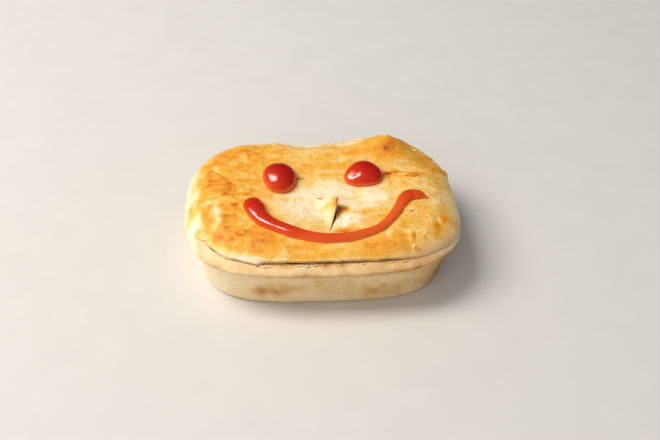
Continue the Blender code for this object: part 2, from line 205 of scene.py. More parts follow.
def closed_mesh(name, rings, first, last, **values):
    """Closed surface over a stack of rings: neighbours on neighbouring rings make a four-sided face, and a
    point at each end closes the stack with a fan. Rings turn anticlockwise seen from the last point, so
    faces point out. Each further value has one number for each ring point, and an end point takes the mean
    of its ring."""
    levels, count = rings.shape[:2]
    vertices = np.concatenate(([first], rings.reshape(-1, 3), [last]))
    index = 1 + np.arange(levels * count).reshape(levels, count)
    following = np.roll(index, -1, axis=1)
    sides = np.stack((index[:-1], following[:-1], following[1:], index[1:]), axis=-1).reshape(-1, 4)
    start = np.stack((np.zeros(count, int), following[0], index[0]), axis=-1)
    end = np.stack((np.full(count, len(vertices) - 1), index[-1], following[-1]), axis=-1)
    for value_name, value in values.items():
        values[value_name] = np.concatenate(([value[0].mean()], value.ravel(), [value[-1].mean()]))
    piece = new_piece(name, vertices, sides.tolist() + start.tolist() + end.tolist(), **values)
    piece.data.shade_smooth()
    return piece


case_turn = np.linspace(0, math.tau, CASE_STEPS_ROUND, endpoint=False)
foot_arc = np.radians(np.linspace(0, 90, 9))
lower_arc = np.radians(np.linspace(90, 0, 22, endpoint=False))
upper_arc = np.radians(np.linspace(0, 90, 24))
bead_below = RIM_WIDEST_HEIGHT - (RIM_WIDEST_HEIGHT - BEAD_BOTTOM_HEIGHT) * np.sin(lower_arc)
bead_above = RIM_WIDEST_HEIGHT + (SEAM_HEIGHT - RIM_WIDEST_HEIGHT) * np.sin(upper_arc)
case_height = np.concatenate((
    FOOT_RADIUS * (1 - np.cos(foot_arc)),
    np.linspace(FOOT_RADIUS, BEAD_BOTTOM_HEIGHT, 34)[1:-1],
    bead_below,
    bead_above,
))[:, None]
side = case_outline(case_turn, case_inset(case_turn, case_height), case_height)
side = np.concatenate((side, np.broadcast_to(case_height[..., None], (*side.shape[:2], 1))), axis=-1)
outward = unit(side * (1, 1, 0))
up_case = np.clip(case_height / RIM_WIDEST_HEIGHT, 0, 1)
wavy = CASE_UNEVENNESS * dough_octaves(side, 0.019, 11) * up_case
lumpy = RIM_UNEVENNESS * dough_octaves(side, 0.008, 21) * up_case**6
side = side + outward * (wavy + lumpy)[..., None]

FRONT_GAP = 0.0007
UNDER_RISE = 0.0006


def front(turn):
    """1 in the middle of the front and 0 round the back: the square of minus the sine of the turn."""
    return np.maximum(0.0, -np.sin(turn)) ** 2


def case_top_height(turn, share):
    """The filled inside's height: nearly flat, a little higher in the middle, and lifted at the front
    crack."""
    return SEAM_HEIGHT + UNDER_RISE * (1 - share**4) + FRONT_GAP * front(turn) ** 2 * share**12


# The filled top's rings: share of the way from the middle to the seam
INNER_SHARES = (0.985, 0.97, 0.94, 0.88, 0.7, 0.4, 0.1)
top = [
    np.column_stack((side[-1, :, :2] * share, case_top_height(case_turn, share))) for share in INNER_SHARES
]
floor_rings = [side[0] * (share, share, 1) for share in (0.1, 0.4, 0.7, 0.9, 0.98)]
case_rings = np.concatenate((floor_rings, side, top))

CASE_TONE = 0.29
PALER_BEAD = 0.14
# Uneven baking as noise: amount, size of the patches, seed, octaves
CASE_MOTTLES = (
    (0.10, 0.016, 31, 4),
    (0.07, 0.004, 41, 3),
)
# Painted shade in the groove under the rim's bead, as dark lines round the case: height, half width, amount
GROOVE_SHADE_LINES = (
    (0.0230, 0.0015, 0.24),
    (0.0254, 0.0015, 0.13),
)
# Slow changes over the case: amount, axis (0 is x, 1 is y), where it starts and is full, and that for height
# Partly painted shade: darker rightward, away from the lamp, most on the right end's wall, which lies in
# shade
SLOW_BROWNING_AND_SHADE = (
    (0.15, 0, -0.020, 0.050, 0.0190, 0.0250),
    (0.34, 0, 0.042, 0.062, 0.0250, 0.0225),
    (-0.22, 0, 0.055, 0.065, 0.0235, 0.0250),
    (0.13, 1, -0.020, -0.040, 0.0235, 0.0260),
)
# The hidden sides' browning: the y from which it shows, its amount, and its band's height and half width
BACK_STARTS = -0.030
BACK_BROWNING = 0.24
BACK_BROWN_HEIGHT = 0.009
BACK_BROWN_REACH = 0.008
# The front left corner of the rim, in degrees: where it stayed paler, and where it shows inside the seam
PALE_CORNER = 209.0
PALE_CORNER_WIDTH = 21.0
PALE_CORNER_HEIGHTS = (0.0240, 0.0262)
PALER_CORNER = 0.12
RIM_SHOWS = 207.0
RIM_SHOWS_WIDTH = 18.0
# Where the front wall and rim browned or stained: x, z, radius in x, radius in z, amount
FRONT_BROWNINGS = (
    (-0.0275, 0.0110, 0.0105, 0.0052, 0.34),
    (-0.0225, 0.0115, 0.0060, 0.0045, 0.12),
    (-0.0120, 0.0055, 0.0080, 0.0045, -0.06),
    (-0.0120, 0.0060, 0.0080, 0.0050, -0.10),
    (-0.0050, 0.0140, 0.0140, 0.0060, 0.10),
    (0.0140, 0.0090, 0.0120, 0.0060, 0.14),
    (0.0280, 0.0095, 0.0090, 0.0060, 0.18),
    (0.0360, 0.0080, 0.0120, 0.0050, 0.08),
    (-0.0540, 0.0130, 0.0130, 0.0160, -0.30),
    (-0.0380, 0.0175, 0.0130, 0.0065, -0.18),
    (-0.0200, 0.0290, 0.0090, 0.0005, 0.30),
    (0.0020, 0.0290, 0.0100, 0.0005, 0.25),
    (0.0500, 0.0238, 0.0090, 0.0013, 0.30),
    (0.0440, 0.0250, 0.0040, 0.0010, 0.18),
    (-0.0590, 0.0258, 0.0032, 0.0016, 0.26),
    (-0.0605, 0.0284, 0.0032, 0.0016, 0.28),
    (-0.0520, 0.0268, 0.0050, 0.0020, 0.26),
    (-0.0425, 0.0278, 0.0050, 0.0016, 0.14),
    (0.0000, 0.0270, 0.0240, 0.0040, 0.08),
    (0.0420, 0.0270, 0.0140, 0.0040, 0.10),
)
x, y, z = np.moveaxis(case_rings, -1, 0)
case_browning = CASE_TONE - PALER_BEAD * smooth_step(z, BEAD_BOTTOM_HEIGHT, RIM_WIDEST_HEIGHT)
for amount, cell, seed, octaves in CASE_MOTTLES:
    case_browning = case_browning + amount * dough_octaves(case_rings, cell, seed, octaves)
# Painted shade in the groove under the bead
for line_height, half_width, amount in GROOVE_SHADE_LINES:
    case_browning = case_browning + amount * bell((z - line_height) / half_width)
patchy = (1 + 0.6 * dough_noise(case_rings, 0.004, 51)) * (y < 0)
case_browning = case_browning + patchy * sum(patch(x, z, row) for row in FRONT_BROWNINGS)
back_band = bell((z - BACK_BROWN_HEIGHT) / BACK_BROWN_REACH) * (y > BACK_STARTS)
back_blotches = np.maximum(0, dough_octaves(case_rings, 0.020, 61, 3)) * back_band
case_browning = case_browning + BACK_BROWNING * back_blotches
# Slow browning and painted shade over the case
for amount, axis, start, full, low, high in SLOW_BROWNING_AND_SHADE:
    change = smooth_step(case_rings[..., axis], start, full) * smooth_step(z, low, high)
    case_browning = case_browning + amount * change
pale_corner = bell((np.degrees(case_turn) - PALE_CORNER) / PALE_CORNER_WIDTH)
case_browning = case_browning - PALER_CORNER * pale_corner * smooth_step(z, *PALE_CORNER_HEIGHTS)
# Inside the seam the filled top turns dark brown where the crack shows it: painted shade in the crack, with
# gravy stain
behind = 1 - np.array(INNER_SHARES)[:, None]
rim_shows = bell((np.degrees(case_turn) - RIM_SHOWS) / RIM_SHOWS_WIDTH)
crack_shade_and_gravy = smooth_step(behind, 0.034 * rim_shows, 0.012 + 0.040 * rim_shows)
inside = slice(len(floor_rings) + len(side), None)
case_browning[inside] = case_browning[inside] * (1 - crack_shade_and_gravy) + crack_shade_and_gravy
case_last = (0, 0, SEAM_HEIGHT + UNDER_RISE)
case = closed_mesh("baked_case", case_rings, (0, 0, 0), case_last, browning=case_browning)


class Value:
    """A socket in a material's node tree. Plus, minus and times each add a Math node, with the socket on
    either side."""

    def __init__(self, recipe, socket):
        self.recipe = recipe
        self.socket = socket

    def combine(self, operation, first, second):
        """The Math node with this operation on the two."""
        return self.recipe.node("Math", {"operation": operation}, {0: first, 1: second})

    def __add__(self, other):
        return self.combine("ADD", self, other)

    def __sub__(self, other):
        return self.combine("SUBTRACT", self, other)

    def __mul__(self, other):
        return self.combine("MULTIPLY", self, other)

    def __rsub__(self, other):
        return self.combine("SUBTRACT", other, self)

    __radd__ = __add__
    __rmul__ = __mul__


class Recipe:
    """A material being mixed, with a Principled shader and the nodes that feed it."""

    def __init__(self, name):
        self.material = bpy.data.materials.new(name)
        self.material.use_nodes = True
        self.tree = self.material.node_tree
        self.shader = self.tree.nodes["Principled BSDF"]

    def feed(self, sockets, values):
        """Links each named socket to its value where that is a socket too, and sets it where that is a
        number."""
        for name, value in values.items():
            if isinstance(value, Value):
                self.tree.links.new(value.socket, sockets[name])
            else:
                sockets[name].default_value = value

    def node(self, kind, settings=None, values=None, output=0):
        """A new node of this kind, with its settings made first and its sockets fed after."""
        node = self.tree.nodes.new("ShaderNode" + kind)
        for name, setting in (settings or {}).items():
            if name == "stops":
                ramp = node.color_ramp
                ramp.elements.remove(ramp.elements[1])
                for number, (position, colour) in enumerate(setting):
                    stop = ramp.elements.new(position) if number else ramp.elements[0]
                    stop.position = position
                    stop.color = colour
            else:
                setattr(node, name, setting)
        self.feed(node.inputs, values or {})
        return Value(self, node.outputs[output])

    def place(self):
        """Where each point is on the piece, in metres."""
        return self.node("TexCoord", output="Object")

    def painted(self, name):
        """The value of this name that the piece carries at its points."""
        return self.node("Attribute", {"attribute_name": name}, output="Fac")

    def ramp(self, tone, stops):
        """The colour that blends between the two stops nearest to the tone, each a tone and a screen
        colour."""
        return self.node("ValToRGB", {"stops": [(at, paint(*seen)) for at, seen in stops]}, {"Fac": tone})

    def bump(self, height, strength, distance):
        """The surface's direction, bent by this height as if each step of 1 stood out by the distance."""
        return self.node("Bump", {}, {"Strength": strength, "Distance": distance, "Height": height})

    def blend(self, share, first, second):
        """A colour that goes from the first to the second as the share goes from 0 to 1."""
        return self.node("Mix", {"data_type": "RGBA"}, {0: share, 6: first, 7: second}, output=2)

    def noise(self, place, size, detail=2.0, roughness=0.5, distortion=0.0):
        """Noise about this size in metres, as its distance from its own middle."""
        values = {"Vector": place, "Scale": 1 / size, "Detail": detail, "Roughness": roughness}
        return self.node("TexNoise", {}, {**values, "Distortion": distortion}) - 0.5

    def finish(self, **values):
        """Feeds the shader's sockets, whose names have a low line for each space."""
        self.feed(self.shader.inputs, {name.replace("_", " "): value for name, value in values.items()})

    def cover(self, piece):
        """Puts the material on the piece, in this slot, and the piece on the part's one body."""
        piece.data.materials.append(self.material)
        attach(piece, "root")


def paint(red, green, blue):
    """A screen colour, 0 to 255, as the light it stands for: the standard curve of power 2.4 undone."""
    seen = np.array((red, green, blue)) / 255
    light = np.where(seen <= 0.04045, seen / 12.92, ((seen + 0.055) / 1.055) ** 2.4)
    return (*light.tolist(), 1.0)


shortcrust = Recipe("shortcrust")
place = shortcrust.place()
# The case's browning, which also carries painted shade in the groove, in the crack and at the right end
browning = shortcrust.painted("browning")
speckle = shortcrust.noise(place, 0.0011, 3.0, 0.65)
cloud = shortcrust.noise(place, 0.0070, 3.0, 0.6)
floury = shortcrust.noise(place, 0.0028, 4.0, 0.7)
tone = browning + speckle * 0.20 + cloud * 0.20 + floury * 0.20
SHORTCRUST_COLOURS = (
    (0.00, (250, 231, 193)),
    (0.25, (243, 214, 164)),
    (0.45, (227, 187, 130)),
    (0.65, (206, 154, 94)),
    (0.85, (168, 108, 58)),
    (1.00, (120, 66, 34)),
)
crumb = shortcrust.noise(place, 0.0007, 4.0, 0.7) + floury * 1.4
shortcrust.finish(
    Base_Color=shortcrust.ramp(tone, SHORTCRUST_COLOURS),
    Roughness=0.72 + speckle * 0.2,
    Normal=shortcrust.bump(crumb, 0.5, 0.0005),
    Specular_IOR_Level=0.3,
    Subsurface_Weight=0.08,
    Subsurface_Scale=0.002,
)
shortcrust.cover(case)
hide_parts("pastry_case")

# The lid. A sheet of puff pastry is laid on the filled case, trimmed at the seam and brushed with egg. It
# has risen over a rounded shoulder to an uneven top, browned most where it stands high, and stayed pale in
# the middle and where flour lay on it.
TOP_RISE = 0.0078
EDGE_THICKNESS = 0.0012
FRONT_EDGE_THICKNESS = 0.0026
SHOULDER_WIDTH = 0.0060
EDGE_STIFFNESS = 0.0015
EDGE_ROUNDING = 0.0006
SEAM_GAP = 0.0003
LID_STEPS_ROUND = 620
LID_TOP_RINGS = 132
# Where the lid's edge stands out or draws in: direction in degrees, half width in degrees, amount
EDGE_BULGES = (
    (60.0, 20.0, 0.0010),
    (98.0, 20.0, -0.0006),
    (27.0, 12.0, -0.0006),
    (-148.0, 14.0, -0.0018),
    (-140.0, 8.0, -0.0010),
)
# Swellings and hollows: x, y, radius in x, radius in y, height
SWELLINGS = (
    (0.0345, 0.0390, 0.0125, 0.0110, 0.0050),
    (-0.0020, 0.0430, 0.0180, 0.0080, -0.0020),
    (0.0560, 0.0270, 0.0110, 0.0110, -0.0022),
    (-0.0460, 0.0330, 0.0120, 0.0090, 0.0012),
    (-0.0500, 0.0020, 0.0090, 0.0220, 0.0010),
    (-0.0340, -0.0370, 0.0160, 0.0070, 0.0012),
    (0.0400, -0.0350, 0.0180, 0.0080, 0.0010),
    (0.0020, -0.0090, 0.0260, 0.0190, -0.0022),
    (0.0160, -0.0200, 0.0060, 0.0050, 0.0012),
    (-0.0530, -0.0190, 0.0040, 0.0070, 0.0008),
    (0.0480, 0.0060, 0.0090, 0.0060, 0.0009),
)
# The fine crack along the left margin: x and y of its corners, then of both ends of each stretch
CRACK_CORNERS = (
    (-0.0634, -0.0025),
    (-0.0634, -0.0104),
    (-0.0624, -0.0179),
    (-0.0612, -0.0230),
    (-0.0592, -0.0275),
)
LEFT_CRACK = [(*start, *end) for start, end in zip(CRACK_CORNERS, CRACK_CORNERS[1:])]
# Wrinkles, flakes and fine cracks: x and y of both ends, half width, height
WRINKLES = (
    (-0.0570, 0.0210, -0.0450, 0.0070, 0.0013, -0.0008),
    (-0.0440, -0.0300, -0.0480, -0.0410, 0.0014, 0.0004),
    (-0.0380, -0.0330, -0.0400, -0.0435, 0.0013, -0.0004),
    (-0.0310, -0.0350, -0.0325, -0.0445, 0.0014, 0.0003),
    (0.0315, 0.0122, 0.0400, 0.0135, 0.0008, -0.0005),
    (0.0400, 0.0135, 0.0520, 0.0122, 0.0006, -0.0005),
    (0.0395, 0.0092, 0.0480, 0.0080, 0.0006, -0.0005),
    (-0.0560, 0.0190, -0.0470, 0.0110, 0.0005, -0.0006),
    (0.0422, -0.0310, 0.0416, -0.0345, 0.0010, 0.0004),
    (0.0446, -0.0315, 0.0440, -0.0350, 0.0008, -0.0003),
    (0.0425, -0.0375, 0.0420, -0.0390, 0.0009, 0.0003),
    (0.0505, -0.0330, 0.0520, -0.0345, 0.0008, -0.0003),
    (0.0530, -0.0190, 0.0548, -0.0250, 0.0014, 0.0004),
    (0.0560, -0.0195, 0.0572, -0.0250, 0.0009, -0.0004),
    (0.0440, 0.0080, 0.0560, 0.0090, 0.0013, 0.0006),
    (0.0460, 0.0020, 0.0570, 0.0000, 0.0012, -0.0005),
    (0.0370, -0.0155, 0.0430, -0.0180, 0.0013, 0.0006),
    (0.0300, 0.0470, 0.0400, 0.0380, 0.0014, -0.0006),
    *((*line, 0.0005, -0.0004) for line in LEFT_CRACK),
)


def lid_edge(turn):
    """The case's outline at the seam, drawn in by the seam's inset and moved by the edge's own bulges."""
    point = case_outline(turn, seam_inset(turn), np.full_like(turn, SEAM_HEIGHT))
    return point + unit(point) * humps_round(EDGE_BULGES, turn)[..., None]


def from_lid_edge(x, y):
    """Turn and distance from the lid's edge: 1 minus the superellipse share, over the length of its slope."""
    turn = np.arctan2(y / RIM_HALF_SIZE[1], x / RIM_HALF_SIZE[0])
    half = RIM_HALF_SIZE - seam_inset(turn)
    plain = superellipse(turn, half, RIM_CORNER_POWER)
    half = half * (np.linalg.norm(lid_edge(turn), axis=-1) / np.linalg.norm(plain, axis=-1))[..., None]
    u, v = np.abs(x) / half[..., 0], np.abs(y) / half[..., 1]
    share = np.maximum(0.05, (u**RIM_CORNER_POWER + v**RIM_CORNER_POWER) ** (1 / RIM_CORNER_POWER))
    slope_x = (u / share) ** (RIM_CORNER_POWER - 1) / half[..., 0]
    slope_y = (v / share) ** (RIM_CORNER_POWER - 1) / half[..., 1]
    return turn, np.maximum(0.0, 1 - share) / np.maximum(np.hypot(slope_x, slope_y), 0.5 / half[..., 0])


def along_lines(x, y, table):
    """Sum of a table's lines: each is its amount times a bell of the distance from the line over its half
    width. The distance goes to the line's nearest point, found by projecting and clamping."""
    total = 0.0
    for start_x, start_y, end_x, end_y, half_width, amount in table:
        along_x, along_y = end_x - start_x, end_y - start_y
        share = ((x - start_x) * along_x + (y - start_y) * along_y) / (along_x**2 + along_y**2)
        share = np.clip(share, 0, 1)
        away = np.hypot(x - start_x - along_x * share, y - start_y - along_y * share)
        total = total + amount * bell(away / half_width)
    return total


def lid_form(x, y):
    """The lid's smooth top: edge thickness, then a shoulder that closes on the full rise as 1 -
    e^(-distance), with the swellings and hollows as bells."""
    turn, from_edge = from_lid_edge(x, y)
    edge = EDGE_THICKNESS + (FRONT_EDGE_THICKNESS - EDGE_THICKNESS) * front(turn)
    height = SEAM_HEIGHT + edge + (TOP_RISE - edge) * (1 - np.exp(-from_edge / SHOULDER_WIDTH))
    relief = sum(patch(x, y, row) for row in SWELLINGS)
    return height + relief * (1 - np.exp(-from_edge / EDGE_STIFFNESS))


# Loose corners of the edge: where each breaks off and how far back it starts, in degrees, and how far it
# stands out
TEARS = (
    (56.5, 9.0, 0.0010),
    (24.0, 8.0, 0.0012),
    (38.0, 6.0, 0.0006),
    (129.0, 9.0, 0.0007),
    (112.0, 9.0, 0.0005),
    (78.0, 7.0, 0.0006),
)
TEAR_BREAK = 0.6


def edge_tears(turn, place):
    """Each loose corner grows with the power 1.5 of the turn from where it starts and breaks off in a
    smooth step, on top of an uneven edge that is rougher at the back right."""
    degrees = np.degrees(turn)
    rough = 0.00010 + 0.00022 * bell((degrees - 45) / 40)
    out = rough * dough_octaves(place, 0.0045, 83, 3)
    for direction, width, amount in TEARS:
        share = np.clip(1 - (direction - degrees) / width, 0, 1)
        out = out + amount * share**1.5 * (1 - smooth_step(degrees, direction, direction + TEAR_BREAK))
    return out


def lid_relief(x, y):
    """Wrinkles, blisters and puckers, as bells along lines and as noise of falling size, fading to the
    edge, and the loose corners, which also stand up a little inside the edge."""
    turn, from_edge = from_lid_edge(x, y)
    flat = np.stack((x, y, np.zeros_like(x)), axis=-1)
    drift = np.stack((dough_noise(flat, 0.008, 71), dough_noise(flat, 0.008, 72)), axis=-1) * 0.0016
    across = flat + np.concatenate((drift, drift[..., :1] * 0), axis=-1)
    relief = 0.00042 * dough_noise(flat, 0.013, 73) + 0.00026 * dough_noise(across, 0.0058, 74)
    relief = relief + 0.00018 * dough_noise(across * (1, 1.7, 1), 0.0032, 75)
    ridges = 1 - 2 * np.abs(dough_noise(across, 0.0042, 76))
    relief = relief + 0.00016 * ridges + 0.00007 * dough_noise(across, 0.0013, 77)
    relief = relief + along_lines(x + drift[..., 0], y + drift[..., 1], WRINKLES)
    relief = relief + 1.2 * edge_tears(turn, flat) * bell((from_edge - 0.0030) / 0.0030)
    return relief * (1 - np.exp(-from_edge / EDGE_STIFFNESS))


def eased(place, table, column):
    """A column of the table at this place in its first column, each step between rows eased as in
    smooth_step."""
    rows = np.asarray(table)
    k = np.clip(np.searchsorted(rows[:, 0], place, side="right") - 1, 0, len(rows) - 2)
    t = smooth_step(place, rows[k, 0], rows[k + 1, 0])
    return rows[k, column] * (1 - t) + rows[k + 1, column] * t


# How far the lid hangs over the rim: direction in degrees, and 0 for a cut edge on the seam to 1 for the
# widest line. The step at -116 degrees is a tear.
HANGS = (
    (-180.0, 1.0),
    (-157.0, 1.0),
    (-145.0, 0.06),
    (-127.0, 0.04),
    (-121.0, 0.16),
    (-117.4, 0.26),
    (-115.2, 0.0),
    (-64.0, 0.0),
    (-46.0, 0.40),
    (-24.0, 1.0),
    (180.0, 1.0),
)
# How far the seam gapes: direction in degrees, height of the crack, or how far the edge is pressed into the
# rim
SEAM_CRACKS = (
    (-180.0, -0.0001),
    (-147.0, -0.0001),
    (-143.0, 0.0005),
    (-136.0, 0.0008),
    (-132.5, 0.0004),
    (-131.0, 0.0),
    (-128.5, 0.0001),
    (-126.0, 0.0006),
    (-117.0, 0.0009),
    (-113.0, 0.0006),
    (-104.0, 0.0007),
    (-101.0, 0.0012),
    (-93.0, 0.0013),
    (-90.0, 0.0008),
    (-86.0, 0.0010),
    (-78.0, 0.0009),
    (-68.0, 0.0007),
    (-60.0, 0.0004),
    (-55.0, -0.0001),
    (180.0, -0.0001),
)
HANG_WIDTH = 0.0036
HANG_SHORT_OF_RIM = 0.00022
HANG_EDGE_SUNK = 0.00012
CUT_EDGE_TORN = 0.00034
FUSED_DEPTH = 0.0009
FUSED_AT = -152.0
FUSED_WIDTH = 4.5


def bead_height(inset, turn):
    """Height of the rim's bead at this inset from its widest line: the quarter superellipse turned round."""
    share = np.clip(inset / seam_inset(turn)[..., 1], 0, 1)
    level = (1 - (1 - share) ** BEAD_POWER) ** (1 / BEAD_POWER)
    return RIM_WIDEST_HEIGHT + (SEAM_HEIGHT - RIM_WIDEST_HEIGHT) * level


def hung(x, y, height):
    """The lid's top where it hangs over the rim. Within the hanging width, points move outward by 4 t
    squared minus 3 t cubed of the extra reach and down by t squared of the drop, t growing to 1 at the
    edge. The drop brings the edge down to the rim, on what is left of its thickness, which thins with the
    cube of what isn't hung. At the front left the edge is pressed into the rim, by a bell of the
    direction."""
    turn, from_edge = from_lid_edge(x, y)
    hang = eased(np.degrees(turn), HANGS, 1)
    edge = lid_edge(turn)
    rim = case_outline(turn, np.zeros((*turn.shape, 2)), np.full_like(turn, RIM_WIDEST_HEIGHT))
    reach = (np.linalg.norm(rim - edge, axis=-1) - HANG_SHORT_OF_RIM) * hang
    thickness = EDGE_THICKNESS + (FRONT_EDGE_THICKNESS - EDGE_THICKNESS) * front(turn)
    rest = bead_height(seam_inset(turn)[..., 1] * (1 - hang), turn)
    rest = rest - FUSED_DEPTH * bell((np.degrees(turn) - FUSED_AT) / FUSED_WIDTH)
    drop = SEAM_HEIGHT + thickness - (rest + thickness * (1 - hang) ** 3 - HANG_EDGE_SUNK * hang)
    t = np.clip(1 - from_edge / HANG_WIDTH, 0, 1)
    out = unit(edge) * (reach * (4 * t**2 - 3 * t**3))[..., None]
    return x + out[..., 0], y + out[..., 1], height - drop * hang**0.2 * t**2


# The cut for the vent: a three-cornered tongue, cut on two sides and hinged on the third
HINGE_BACK = np.array((-0.0050, -0.0058))
HINGE_FRONT = np.array((0.0036, -0.0303))
CUT_CORNER = np.array((0.0073, -0.0098))
CUT_DEPTH = 0.0042
CUT_SOFTNESS = 0.00030
CUT_GAPE = 0.0008
CUT_GAPE_PLACE = -0.0185
CUT_GAPE_REACH = 0.0050


def beside(x, y, start, end):
    """Distance to the left of the straight line from start to end, negative on its right."""
    along = (end - start) / np.linalg.norm(end - start)
    return along[0] * (y - start[1]) - along[1] * (x - start[0])


def cut_depth(x, y):
    """The vent's floor drops with the power 0.8 of the distance from the hinge, inside a soft step at the
    two cut sides. The right side gapes by a bell along its length."""
    from_hinge = beside(x, y, HINGE_BACK, HINGE_FRONT) / beside(*CUT_CORNER, HINGE_BACK, HINGE_FRONT)
    gape = CUT_GAPE * bell((y - CUT_GAPE_PLACE) / CUT_GAPE_REACH)
    right_side = beside(x, y, HINGE_FRONT, CUT_CORNER) + gape
    within = np.minimum(right_side, beside(x, y, CUT_CORNER, HINGE_BACK))
    open_here = smooth_step(within, -CUT_SOFTNESS, CUT_SOFTNESS)
    return CUT_DEPTH * np.clip(from_hinge, 0, 1) ** 0.8 * open_here


lid_turn = np.linspace(-math.pi, math.pi, LID_STEPS_ROUND, endpoint=False)
edge_line = lid_edge(lid_turn)
edge_place = np.column_stack((edge_line, np.full(LID_STEPS_ROUND, SEAM_HEIGHT)))
torn = CUT_EDGE_TORN * dough_octaves(edge_place, 0.005, 81, 3) * (0.3 + 0.7 * front(lid_turn))
hang = eased(np.degrees(lid_turn), HANGS, 1)
torn = torn * (1 - hang) + hang * edge_tears(lid_turn, edge_place)
top_share = np.linspace(0, 1, LID_TOP_RINGS + 2)[1:-1]
top_share = 1 - top_share * (0.5 + 0.5 * top_share)
top_share = np.concatenate(([0.9995], top_share))
top_place = edge_line * top_share[:, None, None]
x, y = np.moveaxis(top_place, -1, 0)
flat_height = lid_form(x, y) + lid_relief(x, y) - cut_depth(x, y)
lid_top = np.stack(hung(x, y, flat_height), axis=-1)
near_edge = smooth_step(top_share, 0.94, 1.0)[:, None]
lid_top[..., :2] += unit(edge_line) * (torn * near_edge)[..., None]
brink = lid_top[0]
edge_inset = seam_inset(lid_turn)[:, 1] * (1 - hang)
crack = eased(np.degrees(lid_turn), SEAM_CRACKS, 1) * (1 + 0.5 * dough_noise(edge_place, 0.003, 85))
low_edge = np.minimum(bead_height(edge_inset, lid_turn) + crack, brink[:, 2] - 0.0004)
edge_rings = []
for level in np.linspace(0, 1, 15)[:-1]:
    rounding = EDGE_ROUNDING * (bell(level / 0.14) + 0.35 * bell((1 - level) / 0.22)) * (1 - 0.5 * hang)
    layers = 0.00020 * dough_noise(edge_place * (1, 1, 0) + (0, 0, level * 0.0045), 0.0011, 91) * (1 - hang)
    ring = brink[:, :2] + unit(edge_line) * (layers * math.sin(math.pi * level) - rounding)[:, None]
    edge_rings.append(np.column_stack((ring, low_edge + (brink[:, 2] - low_edge) * level)))
under_rings = []
for share in (0.1, 0.5, 0.8, 0.92, 0.97):
    under_rings.append(np.column_stack((edge_line * share, case_top_height(lid_turn, share) + SEAM_GAP)))
lid_rings = np.concatenate((under_rings, edge_rings, lid_top))
